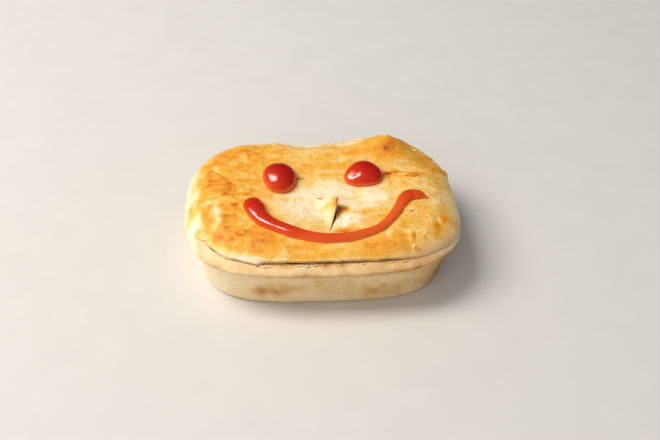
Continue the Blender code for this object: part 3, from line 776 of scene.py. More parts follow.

# Browned and pale places on the lid, and painted shadows and light: x, y, radius in x, radius in y, amount
BROWNINGS_AND_SHADINGS = (
    (0.001, -0.006, 0.026, 0.013, -0.39),
    (0.012, -0.022, 0.008, 0.005, -0.38),
    (0.000, -0.024, 0.016, 0.006, -0.14),
    # This row and the next: painted shadow of the flap, in brown, on the lid to its right
    (0.0106, -0.0126, 0.0030, 0.0030, 0.56),
    (0.0085, -0.0165, 0.0016, 0.0040, 0.40),
    # This row and the next: painted light, lightening the lid's right side where it lies away from the lamp
    (0.040, -0.005, 0.022, 0.030, -0.09),
    (0.0600, -0.008, 0.008, 0.020, -0.20),
    (0.0560, 0.0240, 0.008, 0.008, 0.10),
    # Painted light: lightens the lid's front right
    (0.040, -0.034, 0.018, 0.008, -0.08),
    (-0.045, 0.026, 0.014, 0.010, 0.05),
    (-0.036, -0.034, 0.016, 0.007, 0.05),
    (0.003, 0.001, 0.011, 0.004, -0.10),
    (-0.016, -0.014, 0.009, 0.009, -0.12),
    (0.027, -0.004, 0.008, 0.006, -0.16),
    (0.021, -0.0155, 0.004, 0.003, 0.15),
    (0.016, -0.004, 0.006, 0.002, 0.07),
    (0.0105, -0.0292, 0.0045, 0.0013, 0.36),
    (0.0145, -0.0215, 0.0009, 0.0009, 0.42),
    # Painted shade: a dark mark behind the flap's raised back edge, where the slit under it is in shade
    (-0.0008, -0.0046, 0.0012, 0.0005, 0.85),
    # Painted shadow of the left eye, on the lid to its right
    (-0.0105, 0.0095, 0.0016, 0.0007, 0.50),
    (-0.007, 0.020, 0.003, 0.0006, 0.22),
    (-0.004, 0.012, 0.009, 0.006, -0.05),
    (-0.028, 0.030, 0.008, 0.005, 0.05),
    (-0.0565, 0.0155, 0.0022, 0.0040, 0.24),
    (-0.0562, 0.0090, 0.0012, 0.0026, 0.24),
    (-0.050, 0.004, 0.009, 0.007, 0.12),
    (-0.044, 0.006, 0.003, 0.004, 0.14),
    (-0.0345, 0.0010, 0.0022, 0.0045, 0.14),
    (-0.0320, -0.0060, 0.0020, 0.0060, 0.10),
    (-0.0475, -0.0035, 0.0030, 0.0050, 0.14),
    (-0.0555, -0.0105, 0.0016, 0.0045, 0.22),
    (-0.0475, -0.0170, 0.0025, 0.0070, 0.14),
    (-0.0440, -0.0190, 0.0050, 0.0080, 0.05),
    (-0.0430, -0.0270, 0.0080, 0.0050, 0.13),
    (-0.0540, -0.0300, 0.0040, 0.0040, 0.12),
    (-0.0340, -0.0350, 0.0060, 0.0070, 0.10),
    (-0.0460, -0.0370, 0.0060, 0.0050, 0.06),
    (-0.0250, -0.0330, 0.0050, 0.0040, 0.12),
    (-0.0592, -0.0245, 0.0016, 0.0036, 0.26),
    (-0.0614, -0.0212, 0.0026, 0.0028, -0.16),
    (-0.0512, -0.0205, 0.0021, 0.0042, -0.30),
    (-0.0534, -0.0135, 0.0021, 0.0042, -0.30),
    (-0.0568, -0.0070, 0.0022, 0.0036, -0.28),
    (-0.0572, -0.0152, 0.0014, 0.0034, 0.26),
    (-0.0560, -0.0245, 0.0024, 0.0034, 0.12),
    (-0.0610, -0.0170, 0.0014, 0.0070, -0.20),
    (-0.0570, -0.0370, 0.0030, 0.0050, -0.08),
    (-0.0645, -0.0170, 0.0030, 0.0060, 0.20),
    (-0.0528, -0.0318, 0.0034, 0.0026, 0.16),
    (-0.0462, -0.0380, 0.0034, 0.0020, 0.08),
    (-0.0200, -0.0420, 0.0040, 0.0030, -0.18),
    (-0.0290, -0.0440, 0.0020, 0.0030, -0.18),
    (-0.014, 0.027, 0.014, 0.005, -0.12),
    (-0.003, 0.033, 0.012, 0.004, -0.14),
    (-0.020, 0.036, 0.008, 0.003, -0.12),
    (0.014, 0.038, 0.008, 0.003, -0.30),
    (0.036, 0.031, 0.006, 0.005, 0.24),
    (0.018, 0.030, 0.011, 0.005, 0.05),
    (0.038, 0.029, 0.012, 0.007, 0.06),
    (0.028, 0.0425, 0.007, 0.0022, -0.40),
    (0.0345, 0.0105, 0.0030, 0.0030, 0.28),
    (0.046, 0.0095, 0.0045, 0.0022, 0.20),
    (0.038, 0.004, 0.004, 0.004, 0.08),
    (0.044, 0.019, 0.010, 0.004, -0.05),
    (0.0600, -0.0180, 0.0030, 0.0060, 0.16),
    (0.0560, -0.0270, 0.0040, 0.0050, 0.16),
    (0.0380, -0.0330, 0.0050, 0.0030, 0.12),
    (0.0430, -0.0160, 0.0035, 0.0012, -0.28),
    (0.0485, -0.0150, 0.0040, 0.0020, 0.10),
    (0.0545, -0.0225, 0.0013, 0.0022, -0.14),
    (0.0420, -0.0335, 0.0012, 0.0040, -0.18),
    (0.030, -0.038, 0.018, 0.004, 0.06),
    (0.002, -0.040, 0.022, 0.004, -0.06),
    (0.0560, -0.0420, 0.0090, 0.0045, -0.24),
    (0.0620, -0.0330, 0.0030, 0.0070, -0.22),
    (0.0450, -0.0480, 0.0070, 0.0020, -0.12),
)
# Fine cracks that browned: x and y of both ends, half width, amount
BROWN_CRACKS = (
    (0.0305, 0.0112, 0.0385, 0.0134, 0.0016, 0.32),
    (0.0385, 0.0134, 0.0420, 0.0134, 0.0007, 0.30),
    *((*line, 0.0004, 0.13) for line in LEFT_CRACK),
    (0.0400, 0.0135, 0.0525, 0.0122, 0.0006, 0.32),
    (0.0395, 0.0092, 0.0480, 0.0080, 0.0006, 0.30),
    (0.0480, 0.0080, 0.0500, 0.0096, 0.0006, 0.30),
    (-0.0560, 0.0190, -0.0470, 0.0110, 0.0006, 0.34),
    (0.0400, -0.0172, 0.0450, -0.0170, 0.0006, 0.26),
    (0.0444, -0.0318, 0.0438, -0.0345, 0.0007, 0.20),
    (0.0460, -0.0385, 0.0440, -0.0395, 0.0006, 0.20),
)
# The drift that breaks up the borders of these places is cut to a share for cracks, and for patches that are
# no wider than this radius
SMALL_PATCH = 0.003
SMALL_PATCH_STRAYS = 0.35
CRACK_STRAYS = 0.3
# How wide the lid's pale margin is: direction in degrees, width
PALE_MARGINS = (
    (-180.0, 0.0068),
    (-167.0, 0.0062),
    (-155.0, 0.0044),
    (-140.0, 0.0036),
    (-128.0, 0.0042),
    (-119.0, 0.0034),
    (-114.0, 0.0014),
    (-66.0, 0.0014),
    (-56.0, 0.0022),
    (-46.0, 0.0025),
    (-30.0, 0.0024),
    (-15.0, 0.0024),
    (0.0, 0.0020),
    (30.0, 0.0015),
    (50.0, 0.0020),
    (64.0, 0.0064),
    (76.0, 0.0075),
    (95.0, 0.0066),
    (118.0, 0.0085),
    (132.0, 0.0040),
    (150.0, 0.0030),
    (165.0, 0.0050),
    (180.0, 0.0068),
)


def lid_browning(x, y, height):
    """Egg-washed gold, the named places added, among them painted shadows and light, pale where the lid rolls
    over the rim, darker on what stands high and in cracks, with its borders broken up by noise."""
    turn, from_edge = from_lid_edge(x, y)
    flat = np.stack((x, y, np.zeros_like(x)), axis=-1)
    drift_x = 0.0018 * dough_octaves(flat, 0.006, 101, 3)
    drift_y = 0.0018 * dough_octaves(flat, 0.006, 111, 3)
    tone = 0.50 + 0.07 * dough_octaves(flat, 0.011, 121, 3)
    blisters = dough_octaves(flat * (1, 1.3, 1), 0.0034, 131, 2)
    left = smooth_step(-x, 0.022, 0.040)
    streaks = dough_octaves(flat * (0.33, 1.5, 1), 0.0040, 127, 2)
    tone = tone + blisters * (0.055 + 0.10 * left) + streaks * 0.06 * (1 - left)
    for row in BROWNINGS_AND_SHADINGS:
        strayed = 1 if min(row[2:4]) > SMALL_PATCH else SMALL_PATCH_STRAYS
        tone = tone + patch(x + drift_x * strayed, y + drift_y * strayed, row)
    tone = tone + along_lines(x + drift_x * CRACK_STRAYS, y + drift_y * CRACK_STRAYS, BROWN_CRACKS)
    tone = tone + 0.05 * bell((from_edge - 0.006) / 0.003)
    margin = eased(np.degrees(turn), PALE_MARGINS, 1)
    broken = 0.34 * blisters + 0.25 * dough_noise(flat, 0.008, 125)
    pale = smooth_step(1 - from_edge / margin + broken, 0.0, 0.9)
    tone = tone - pale * (0.14 + 0.24 * smooth_step(margin, 0.0012, 0.0030))
    above = height - lid_form(x, y)
    return tone + np.clip(above / 0.0012, -1, 1) * 0.10


# The front right margin, baked tan like a cut face, and darkened as painted shade on that slope: direction
# and half width in degrees, where it fades from the edge
TAN_SHADED_MARGIN = -38.0
TAN_SHADED_MARGIN_WIDTH = 22.0
TAN_SHADED_MARGIN_FADES = (0.0010, 0.0042)
top_start = len(under_rings) + len(edge_rings)
ring_number = np.arange(len(lid_rings))[:, None]
under = ring_number < len(under_rings)
on_edge = ~under & (ring_number < top_start)
cut_here = cut_depth(lid_rings[..., 0], lid_rings[..., 1]) / CUT_DEPTH * (ring_number >= top_start)
# Gravy brown on the vent's floor; on the lid's underside it is painted shade, seen through the crack
gravy = np.maximum(smooth_step(cut_here, 0.10, 0.5), 0.9 * under)
x, y = np.moveaxis(top_place, -1, 0)
top_browned_and_shaded = lid_browning(x, y, lid_form(x, y) + lid_relief(x, y))
browned_and_shaded = np.concatenate((
    np.full((len(under_rings), LID_STEPS_ROUND), 0.9),
    np.broadcast_to(top_browned_and_shaded[0], (len(edge_rings), LID_STEPS_ROUND)),
    top_browned_and_shaded,
)) + 0.22 * dough_noise(lid_rings * (1, 1, 1.6), 0.0010, 161) * on_edge
turn, from_edge = from_lid_edge(x, y)
# Tan like a cut face, darkened as painted shade on the front right slope
tan_shaded_margin = bell((np.degrees(turn) - TAN_SHADED_MARGIN) / TAN_SHADED_MARGIN_WIDTH)
tan_shaded_margin = tan_shaded_margin * (1 - smooth_step(from_edge, *TAN_SHADED_MARGIN_FADES))
cut_face_and_shade = on_edge * (1 - hang) * smooth_step(top_start - ring_number, 0.0, 5.0)
cut_face_and_shade = cut_face_and_shade + tan_shaded_margin[0] * on_edge * (1 - cut_face_and_shade)
cut_face_and_shade[top_start:] = tan_shaded_margin
lid_first = (0, 0, SEAM_HEIGHT + SEAM_GAP + UNDER_RISE)
lid_last = (0, 0, float(lid_rings[-1, :, 2].mean()))
lid = closed_mesh("browned_lid", lid_rings, lid_first, lid_last, browning=browned_and_shaded, gravy=gravy, cut=cut_face_and_shade)

puff_pastry = Recipe("puff_pastry")
place = puff_pastry.place()
# The lid's browning, which also carries painted shadows and painted light on the lid and the flap
browning = puff_pastry.painted("browning")
rolled = puff_pastry.node("Mapping", {}, {"Vector": place, "Scale": (0.7, 1.2, 1.0)})
speckle = puff_pastry.noise(rolled, 0.0009, 3.0, 0.65)
mottle = puff_pastry.noise(rolled, 0.0026, 4.0, 0.62, 0.4)
cloud = puff_pastry.noise(place, 0.0090, 3.0, 0.6)
tone = browning + speckle * 0.28 + mottle * 0.30 + cloud * 0.12
PUFF_PASTRY_COLOURS = (
    (0.00, (248, 234, 212)),
    (0.18, (250, 229, 186)),
    (0.34, (249, 207, 124)),
    (0.50, (244, 176, 52)),
    (0.64, (237, 151, 32)),
    (0.78, (214, 120, 30)),
    (0.90, (168, 82, 24)),
    (1.00, (110, 52, 20)),
)
CUT_TAN = paint(224, 172, 112)
# Dark gravy brown, also used as painted shade under the lid's edge and under the flap
GRAVY_AND_SHADE_BROWN = paint(84, 40, 16)
colour = puff_pastry.ramp(tone, PUFF_PASTRY_COLOURS)
colour = puff_pastry.blend(puff_pastry.painted("cut") * 0.7, colour, CUT_TAN)
colour = puff_pastry.blend(puff_pastry.painted("gravy"), colour, GRAVY_AND_SHADE_BROWN)
flaky = puff_pastry.noise(rolled, 0.0016, 5.0, 0.72, 0.6) + speckle * 0.8 + mottle * 0.8
puff_pastry.finish(
    Base_Color=colour,
    Roughness=0.62 - browning * 0.22 + mottle * 0.25,
    Coat_Weight=browning * 0.22,
    Coat_Roughness=0.32,
    Normal=puff_pastry.bump(flaky, 0.6, 0.0006),
    Specular_IOR_Level=0.35,
    Subsurface_Weight=0.10,
    Subsurface_Scale=0.0025,
)
puff_pastry.cover(lid)
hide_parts("pastry_lid")

# The vent's flap. This is the corner of the lid between the two cuts, which steam lifted and the oven set:
# it bends up from its uncut side to a browned tip, and its cut edge shows pale dough as thick as the sheet.
FLAP_TIP = np.array((0.0086, -0.0094))
FLAP_RISE = 0.0062
FLAP_EASING = 0.30
FLAP_THICKNESS = 0.0021
FLAP_ROOT = 0.0008
FLAP_DIP = 0.004
TIP_ROUNDING = 0.0018
FLAP_RINGS = 30
# Down the flap's edge: share of its thickness, and how far inside its border
FLAP_EDGE = (
    (0.96, 0.00020),
    (0.85, 0.00005),
    (0.60, 0.0),
    (0.40, 0.0),
    (0.20, 0.0),
    (0.06, 0.00010),
)
# The rings of its underside: share of the way from the middle to the border
UNDER_SHARES = (0.1, 0.5, 0.9)
TIP_BROWNING = 0.54
TIP_BROWNING_REACH = 0.0078


def corner_arc(before, corner, after, rounding, steps):
    """A corner rounded by a curve: (1-t)^2 of the start, 2t(1-t) of the corner and t^2 of the end."""
    start = corner + unit(before - corner) * rounding
    end = corner + unit(after - corner) * rounding
    t = np.linspace(0, 1, steps)[:, None]
    return (1 - t) ** 2 * start + 2 * t * (1 - t) * corner + t**2 * end


def flap_outline():
    """Anticlockwise round the flap: the hinge side, set back under the lid, then both cut sides and the
    round tip."""
    along = unit(HINGE_FRONT - HINGE_BACK)
    set_back = np.array((along[1], -along[0])) * FLAP_ROOT
    back, front_end = HINGE_BACK + set_back, HINGE_FRONT + set_back
    tip = corner_arc(front_end, FLAP_TIP, back, TIP_ROUNDING, 24)
    share = np.linspace(0, 1, 70, endpoint=False)[:, None]
    hinge = back + (front_end - back) * share
    right = front_end + (tip[0] - front_end) * share
    return np.concatenate((hinge, right, tip[:-1], tip[-1] + (back - tip[-1]) * share))


def hinge_to_tip(x, y):
    """Share of the way from the hinge to the tip: the distance from the hinge's line over the tip's own."""
    return beside(x, y, HINGE_BACK, HINGE_FRONT) / beside(*FLAP_TIP, HINGE_BACK, HINGE_FRONT)


def flap_lift(x, y):
    """How far the flap has risen: its rise times the share of the way from hinge to tip, times a bend that
    eases in as 1 - e^(-share squared over the easing squared). Behind the hinge it dips in step with the
    share."""
    share = hinge_to_tip(x, y)
    up = np.maximum(share, 0)
    return FLAP_RISE * up * (1 - np.exp(-(up**2) / FLAP_EASING**2)) + FLAP_DIP * np.minimum(share, 0)


border = flap_outline()
uneven = 0.00012 * dough_noise(np.column_stack((border, border[:, 0] * 0)), 0.0016, 141)
middle = border.mean(axis=0)
border = border + unit(border - middle) * uneven[:, None]
edge_drops, edge_insets = np.array(FLAP_EDGE).T
under, top = np.ones(len(UNDER_SHARES)), np.zeros(FLAP_RINGS)
drops = np.concatenate((under, edge_drops, top))[:, None]
insets = np.concatenate((under * 0, edge_insets, top))[:, None, None]
shares = np.concatenate((UNDER_SHARES, np.ones(len(FLAP_EDGE)), np.linspace(0.985, 0.03, FLAP_RINGS)))
flap_place = middle + (border - middle) * shares[:, None, None] - unit(border - middle) * insets
x, y = np.moveaxis(flap_place, -1, 0)
flat = lid_form(x, y) + lid_relief(x, y)
flap_rings = np.dstack((x, y, flat + flap_lift(x, y) - FLAP_THICKNESS * drops))
tip_share = np.clip(hinge_to_tip(x, y), 0, 1)
from_cut = beside(x, y, HINGE_FRONT, FLAP_TIP)
to_cut = np.clip(1 - from_cut / TIP_BROWNING_REACH, 0, 1)
flap_tone = lid_browning(x, y, flat) + TIP_BROWNING * tip_share**1.8 * to_cut
flap_tone = np.where(drops > 0.03, 0.12 + 0.35 * (drops < 0.1) * tip_share, flap_tone)
# A tan strip along the flap's right side: the colour of its cut face, darkened as painted shade of that face
flap_cut_and_shade = 0.75 * (1 - smooth_step(from_cut, 0.0008, 0.0026)) * (1 - smooth_step(tip_share, 0.5, 0.9))
bottom, last = flap_rings[0].mean(axis=0), flap_rings[-1].mean(axis=0)
# The flap's underside is gravy brown: painted shade under the flap, seen through the slit
flap_gravy = 0.8 * (drops > 0.9) * np.ones_like(x)
flap = closed_mesh("vent_flap", flap_rings, bottom, last, browning=flap_tone, gravy=flap_gravy, cut=flap_cut_and_shade)
puff_pastry.cover(flap)
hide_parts("pastry_lid")

# The gravy in the vent. A little of the filling's gravy boiled up into the cut, and dried on its floor to a
# dark, shiny film in the deepest corner.
GRAVY_DEPTH = 0.0026
GRAVY_THICKNESS = 0.0016
POOL_ROUNDING = 0.0016
# From the film's underside round its edge to its top: share of its reach, share of its thickness below its
# level
GRAVY_RINGS = (
    (0.1, 1), (0.6, 1), (1, 1), (1, 0.5), (1, 0), (0.96, -0.08), (0.9, 0), (0.6, 0.05), (0.1, 0.06),
)
pool_corners = (
    HINGE_BACK + (CUT_CORNER - HINGE_BACK) * 0.55,
    HINGE_FRONT + (CUT_CORNER - HINGE_FRONT) * 0.30,
    CUT_CORNER,
)
pool_sides = []
for number in range(3):
    before, corner, after = (pool_corners[(number + step) % 3] for step in range(3))
    pool_sides.append(corner_arc(before, corner, after, POOL_ROUNDING, 20))
pool = np.concatenate(pool_sides)
reach, drop = np.array(GRAVY_RINGS).T[..., None]
pool_level = float(lid_form(*CUT_CORNER)) - GRAVY_DEPTH - GRAVY_THICKNESS * drop
x, y = np.moveaxis(pool.mean(axis=0) + (pool - pool.mean(axis=0)) * reach[..., None], -1, 0)
pool_rings = np.dstack((x, y, pool_level + 0 * x))
film = closed_mesh("gravy_film", pool_rings, pool_rings[0].mean(axis=0), pool_rings[-1].mean(axis=0))

dried_gravy = Recipe("dried_gravy")
thick = dried_gravy.noise(dried_gravy.place(), 0.0014, 3.0, 0.6)
dried_gravy.finish(
    Base_Color=dried_gravy.ramp(thick + 0.5, ((0.35, (44, 18, 8)), (0.65, (96, 46, 18)))),
    Roughness=0.22 + thick * 0.2,
    Normal=dried_gravy.bump(thick, 0.3, 0.0003),
)
dried_gravy.cover(film)

# The loose flakes. These are paper-thin chips of pastry that broke off along the crack, the torn edges and
# the wrinkles, and lie where they fell.

# Place x and y, half length, half width, turn and tilt in degrees, browning
FLAKES = np.array((
    (-0.0122, -0.0457, 0.0020, 0.0007, 4, -25, 0.10),
    (-0.0086, -0.0460, 0.0016, 0.0007, -6, -20, 0.00),
    (-0.0045, -0.0457, 0.0018, 0.0006, 3, -30, 0.15),
    (-0.0012, -0.0455, 0.0012, 0.0005, 8, -20, 0.35),
    (0.0075, -0.0455, 0.0013, 0.0005, -4, -25, 0.30),
    (0.0190, -0.0453, 0.0014, 0.0004, 5, -20, 0.25),
    (0.0320, -0.0448, 0.0013, 0.0004, 8, -20, 0.35),
    (0.0385, -0.0443, 0.0016, 0.0005, 14, -25, 0.40),
    (-0.0292, -0.0453, 0.0017, 0.0007, -18, -10, 0.15),
    (-0.0318, -0.0449, 0.0012, 0.0005, 20, -15, 0.45),
    (-0.0262, -0.0456, 0.0010, 0.0004, -5, -10, 0.10),
    (-0.0480, -0.0390, 0.0012, 0.0004, -35, -15, 0.20),
    (0.0430, -0.0160, 0.0022, 0.0007, -4, 9, 0.30),
    (0.0480, 0.0105, 0.0014, 0.0004, 5, 10, 0.70),
    (0.0560, -0.0190, 0.0009, 0.0004, 60, 6, 0.40),
    (0.0436, -0.0388, 0.0012, 0.0006, 70, 6, 0.15),
    (0.0455, -0.0402, 0.0008, 0.0005, 20, 8, 0.20),
    (-0.0540, -0.0150, 0.0012, 0.0005, 80, 8, 0.10),
    (-0.0555, -0.0080, 0.0009, 0.0004, 60, 8, 0.15),
    (0.0402, 0.0420, 0.0016, 0.0006, -40, 15, 0.20),
    (0.0600, 0.0175, 0.0015, 0.0006, -75, 15, 0.15),
    (0.0500, 0.0345, 0.0012, 0.0005, -45, 12, 0.25),
    (0.0200, 0.0440, 0.0015, 0.0005, 5, 12, 0.15),
    (-0.0480, 0.0370, 0.0012, 0.0005, 35, 10, 0.30),
))
FLAKE_THICKNESS = 0.00024
FLAKE_STEPS = 18
FLAKE_CURL = 0.30
# From a flake's underside to its top: share of its reach, share of its thickness above its middle
FLAKE_RINGS = np.array(((0.3, -0.5), (0.75, -0.5), (1.0, -0.2), (1.0, 0.2), (0.75, 0.5), (0.3, 0.5)))


def crust_height(x, y):
    """Height of the crust under a flake: the rim's bead outside the lid's edge and the lid inside it."""
    turn = np.arctan2(y / RIM_HALF_SIZE[1], x / RIM_HALF_SIZE[0])
    rim = case_outline(turn, np.zeros((*turn.shape, 2)), np.full_like(turn, RIM_WIDEST_HEIGHT))
    inset = np.linalg.norm(rim, axis=-1) - np.hypot(x, y)
    on_lid = inset > np.linalg.norm(rim - lid_edge(turn), axis=-1)
    return np.where(on_lid, lid_form(x, y) + lid_relief(x, y), bead_height(inset, turn))


def flake_points():
    """Rings of every flake: an oval with an uneven outline, curled up along its length with the square of
    the way out, tilted on its long side, then turned and put in place."""
    turn = np.linspace(0, math.tau, FLAKE_STEPS, endpoint=False)
    number = np.arange(len(FLAKES))[:, None, None] * 3.7
    spread = np.stack(np.broadcast_arrays(np.cos(turn) + number, np.sin(turn), 0), axis=-1)
    outline = 1 + 0.32 * dough_noise(spread, 0.5, 181)
    _, _, half_length, half_width, heading, tilt, _ = (column[:, None, None] for column in FLAKES.T)
    reach = FLAKE_RINGS[None, :, :1] * outline
    along = reach * np.cos(turn) * half_length
    across = reach * np.sin(turn) * half_width
    up = FLAKE_RINGS[None, :, 1:] * FLAKE_THICKNESS + FLAKE_CURL * along**2 / half_length
    tilt, heading = np.radians(tilt), np.radians(heading)
    sideways = across * np.cos(tilt) - up * np.sin(tilt)
    up = across * np.sin(tilt) + up * np.cos(tilt)
    x = along * np.cos(heading) - sideways * np.sin(heading)
    y = along * np.sin(heading) + sideways * np.cos(heading)
    rest = crust_height(FLAKES[:, 0], FLAKES[:, 1])[:, None, None] + FLAKE_THICKNESS
    return np.stack((x + FLAKES[:, :1, None], y + FLAKES[:, 1:2, None], up + rest), axis=-1)


flake_rings = flake_points()
count, levels = flake_rings.shape[:2]
index = np.arange(flake_rings[..., 0].size).reshape(count, levels, FLAKE_STEPS)
following = np.roll(index, -1, axis=2)
flake_sides = np.stack((index[:, :-1], following[:, :-1], following[:, 1:], index[:, 1:]), axis=-1)
flake_faces = flake_sides.reshape(-1, 4).tolist() + index[:, 0, ::-1].tolist() + index[:, -1].tolist()
flake_tone = np.repeat(FLAKES[:, 6], levels * FLAKE_STEPS)
flakes = new_piece("loose_flakes", flake_rings.reshape(-1, 3), flake_faces, browning=flake_tone)
puff_pastry.cover(flakes)
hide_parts("pastry_lid")

# The eyes. Two drops of thick tomato sauce are squeezed on the lid. Each stands in a rounded heap that
# bulges over its foot and sags a little to one side.
EYES = {
    "sauce_eye_left": {
        "centre": np.array((-0.0205, 0.0086)),
        "half_size": (0.0087, 0.0097, 0.0074),
        "lobes": (0.026, math.radians(31), 0.02, math.radians(130)),
        "top_shift": np.array((-0.0012, 0.0006)),
        "dents": (
            (-0.0236, 0.0048, 0.0026, 0.00018),
            (-0.0260, 0.0066, 0.0014, -0.00008),
        ),
    },
    "sauce_eye_right": {
        "centre": np.array((0.0217, 0.0102)),
        "half_size": (0.0097, 0.0084, 0.0062),
        "lobes": (0.065, math.radians(90), 0.0, 0.0),
        "top_shift": np.array((0.0006, 0.0004)),
        "dents": (
            (0.0156, 0.0068, 0.0036, 0.00078),
            (0.0190, 0.0094, 0.0014, 0.00026),
            (0.0172, 0.0050, 0.0010, -0.00012),
        ),
    },
}
UNDERCUT = math.radians(11)
SAUCE_SINK = 0.0007
EYE_STEPS_ROUND = 128
EYE_RINGS = 48
TOMATO_COLOURS = (
    (0.00, (176, 22, 22)),
    (0.18, (194, 38, 22)),
    (0.40, (214, 66, 26)),
    (0.75, (230, 98, 38)),
    (1.00, (242, 132, 58)),
)


def dress_sauce(piece, name):
    """Tomato sauce mixed for this piece: red where it is thick or painted in shade, orange where it is thin
    or painted as lit, wet and slightly clear."""
    sauce = Recipe(name)
    place = sauce.place()
    pulp = sauce.noise(place, 0.0022, 3.0, 0.6)
    ripple = sauce.noise(place, 0.0045, 1.0) + sauce.noise(place, 0.0009, 2.0) * 0.06
    sauce.finish(
        Base_Color=sauce.ramp(sauce.painted("thinness") + pulp * 0.22, TOMATO_COLOURS),
        Roughness=0.19 + pulp * 0.06,
        Normal=sauce.bump(ripple, 0.2, 0.0006),
        Subsurface_Weight=0.25,
        Subsurface_Scale=0.002,
        Subsurface_Radius=(1.0, 0.25, 0.1),
        Specular_IOR_Level=0.6,
        Coat_Weight=0.4,
        Coat_Roughness=0.10,
    )
    sauce.cover(piece)


def sauce_drop(name, centre, half_size, lobes, top_shift, dents):
    """A heap of sauce: rings by the angle from a little under the widest line up to the top. Each ring
    reaches out by the angle's cosine and stands as high as its sine, over a foot that is sunk into the lid.
    Three and two lobes bend its outline, its top is moved aside, and dents (x, y, radius, depth) flatten it
    as bells. The sauce thins from the top to the foot, most at the foot's very edge. On top of that, painted
    light and shade make it more orange at the front left, towards the lamp, and deeper red at the back right."""
    turn = np.linspace(0, math.tau, EYE_STEPS_ROUND, endpoint=False)
    angle = np.linspace(-UNDERCUT, math.pi / 2, EYE_RINGS, endpoint=False)[:, None]
    foot = math.sin(UNDERCUT)
    climb = (angle + UNDERCUT) / (math.pi / 2 + UNDERCUT)
    rise = half_size[2] * (np.sin(angle) + foot) / (1 + foot)
    three, three_turn, two, two_turn = lobes
    lobed = 1 + three * np.cos(3 * (turn - three_turn)) + two * np.cos(2 * (turn - two_turn))
    uneven = 0.012 * dough_noise(np.stack((turn, turn * 0, turn * 0), axis=-1), 0.5, 171)
    reach = np.cos(angle) * (lobed + uneven)
    x = centre[0] + top_shift[0] * climb + half_size[0] * np.cos(turn) * reach
    y = centre[1] + top_shift[1] * climb + half_size[1] * np.sin(turn) * reach
    stand = lid_form(x, y) * (1 - climb) + lid_form(*centre) * climb
    for dent_x, dent_y, radius, depth in dents:
        stand = stand - depth * bell(np.hypot(x - dent_x, y - dent_y) / radius) * (angle > 0)
    shell = np.stack((x, y, stand + rise), axis=-1)
    sunk = shell[:1] - (0, 0, SAUCE_SINK)
    middle = np.array((*centre, 0.0))
    inner = [middle + (sunk[0] - middle) * (share, share, 1) for share in (0.2, 0.7)]
    rings = np.concatenate((inner, sunk, shell))
    first, last = rings[0].mean(axis=0), (*(centre + top_shift), float(lid_form(*centre)) + half_size[2])
    thinness = 0.32 - 0.24 * climb + 0.35 * (1 - climb) ** 7
    # Painted light and shade: more orange at the front left, deeper red at the back right
    thinness = thinness - (0.12 * np.sin(turn) + 0.16 * np.cos(turn)) * (1 - climb) ** 0.5
    thinness = np.concatenate((np.full((3, EYE_STEPS_ROUND), 0.3), thinness))
    drop = closed_mesh(name + "_drop", rings, first, last, thinness=thinness)
    dress_sauce(drop, name)
    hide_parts(name)


for name, sizes in EYES.items():
    sauce_drop(name, **sizes)

# The smile. One line of the same sauce is piped from the left, where it began as a thick blob, round to the
# right, where it ran thin and the nozzle was flicked away in a curl.

# The smile's middle line: x and y
SMILE = np.array((
    (-0.0358, -0.0060),
    (-0.0334, -0.0118),
    (-0.0306, -0.0180),
    (-0.0264, -0.0231),
    (-0.0196, -0.0272),
    (-0.0115, -0.0309),
    (0.0000, -0.0339),
    (0.0120, -0.0337),
    (0.0203, -0.0318),
    (0.0276, -0.0286),
    (0.0331, -0.0227),
    (0.0374, -0.0159),
    (0.0406, -0.0094),
    (0.0443, -0.0060),
    (0.0486, -0.0058),
    (0.0535, -0.0078),
))
# Share of the smile's length, then the bead's half width, height and thinness there
SMILE_SIZES = np.array((
    (0.00, 0.0048, 0.0041, 0.24),
    (0.03, 0.0050, 0.0036, 0.24),
    (0.07, 0.0051, 0.0042, 0.20),
    (0.13, 0.0043, 0.0037, 0.24),
    (0.25, 0.0037, 0.0031, 0.34),
    (0.40, 0.0029, 0.0024, 0.55),
    (0.60, 0.0026, 0.0020, 0.66),
    (0.72, 0.0026, 0.0019, 0.75),
    (0.83, 0.0030, 0.0020, 0.72),
    (0.91, 0.0040, 0.0025, 0.42),
    (0.95, 0.0034, 0.0022, 0.52),
    (1.00, 0.0008, 0.0006, 0.90),
))
SMILE_STATIONS = 300
SMILE_STEPS_ROUND = 48
SMILE_FULLNESS = 0.8


def smooth_curve(points, position):
    """A smooth curve through the points: between two of them, the cubic whose slope at each is half the
    step between its neighbours."""
    before = np.concatenate(([2 * points[0] - points[1]], points[:-1]))
    after = np.concatenate((points[1:], [2 * points[-1] - points[-2]]))
    slope = (after - before) / 2
    k = np.clip(position.astype(int), 0, len(points) - 2)
    t = (position - k)[:, None]
    curve = points[k] * (2 * t**3 - 3 * t**2 + 1) + slope[k] * (t**3 - 2 * t**2 + t)
    return curve + points[k + 1] * (3 * t**2 - 2 * t**3) + slope[k + 1] * (t**3 - t**2)


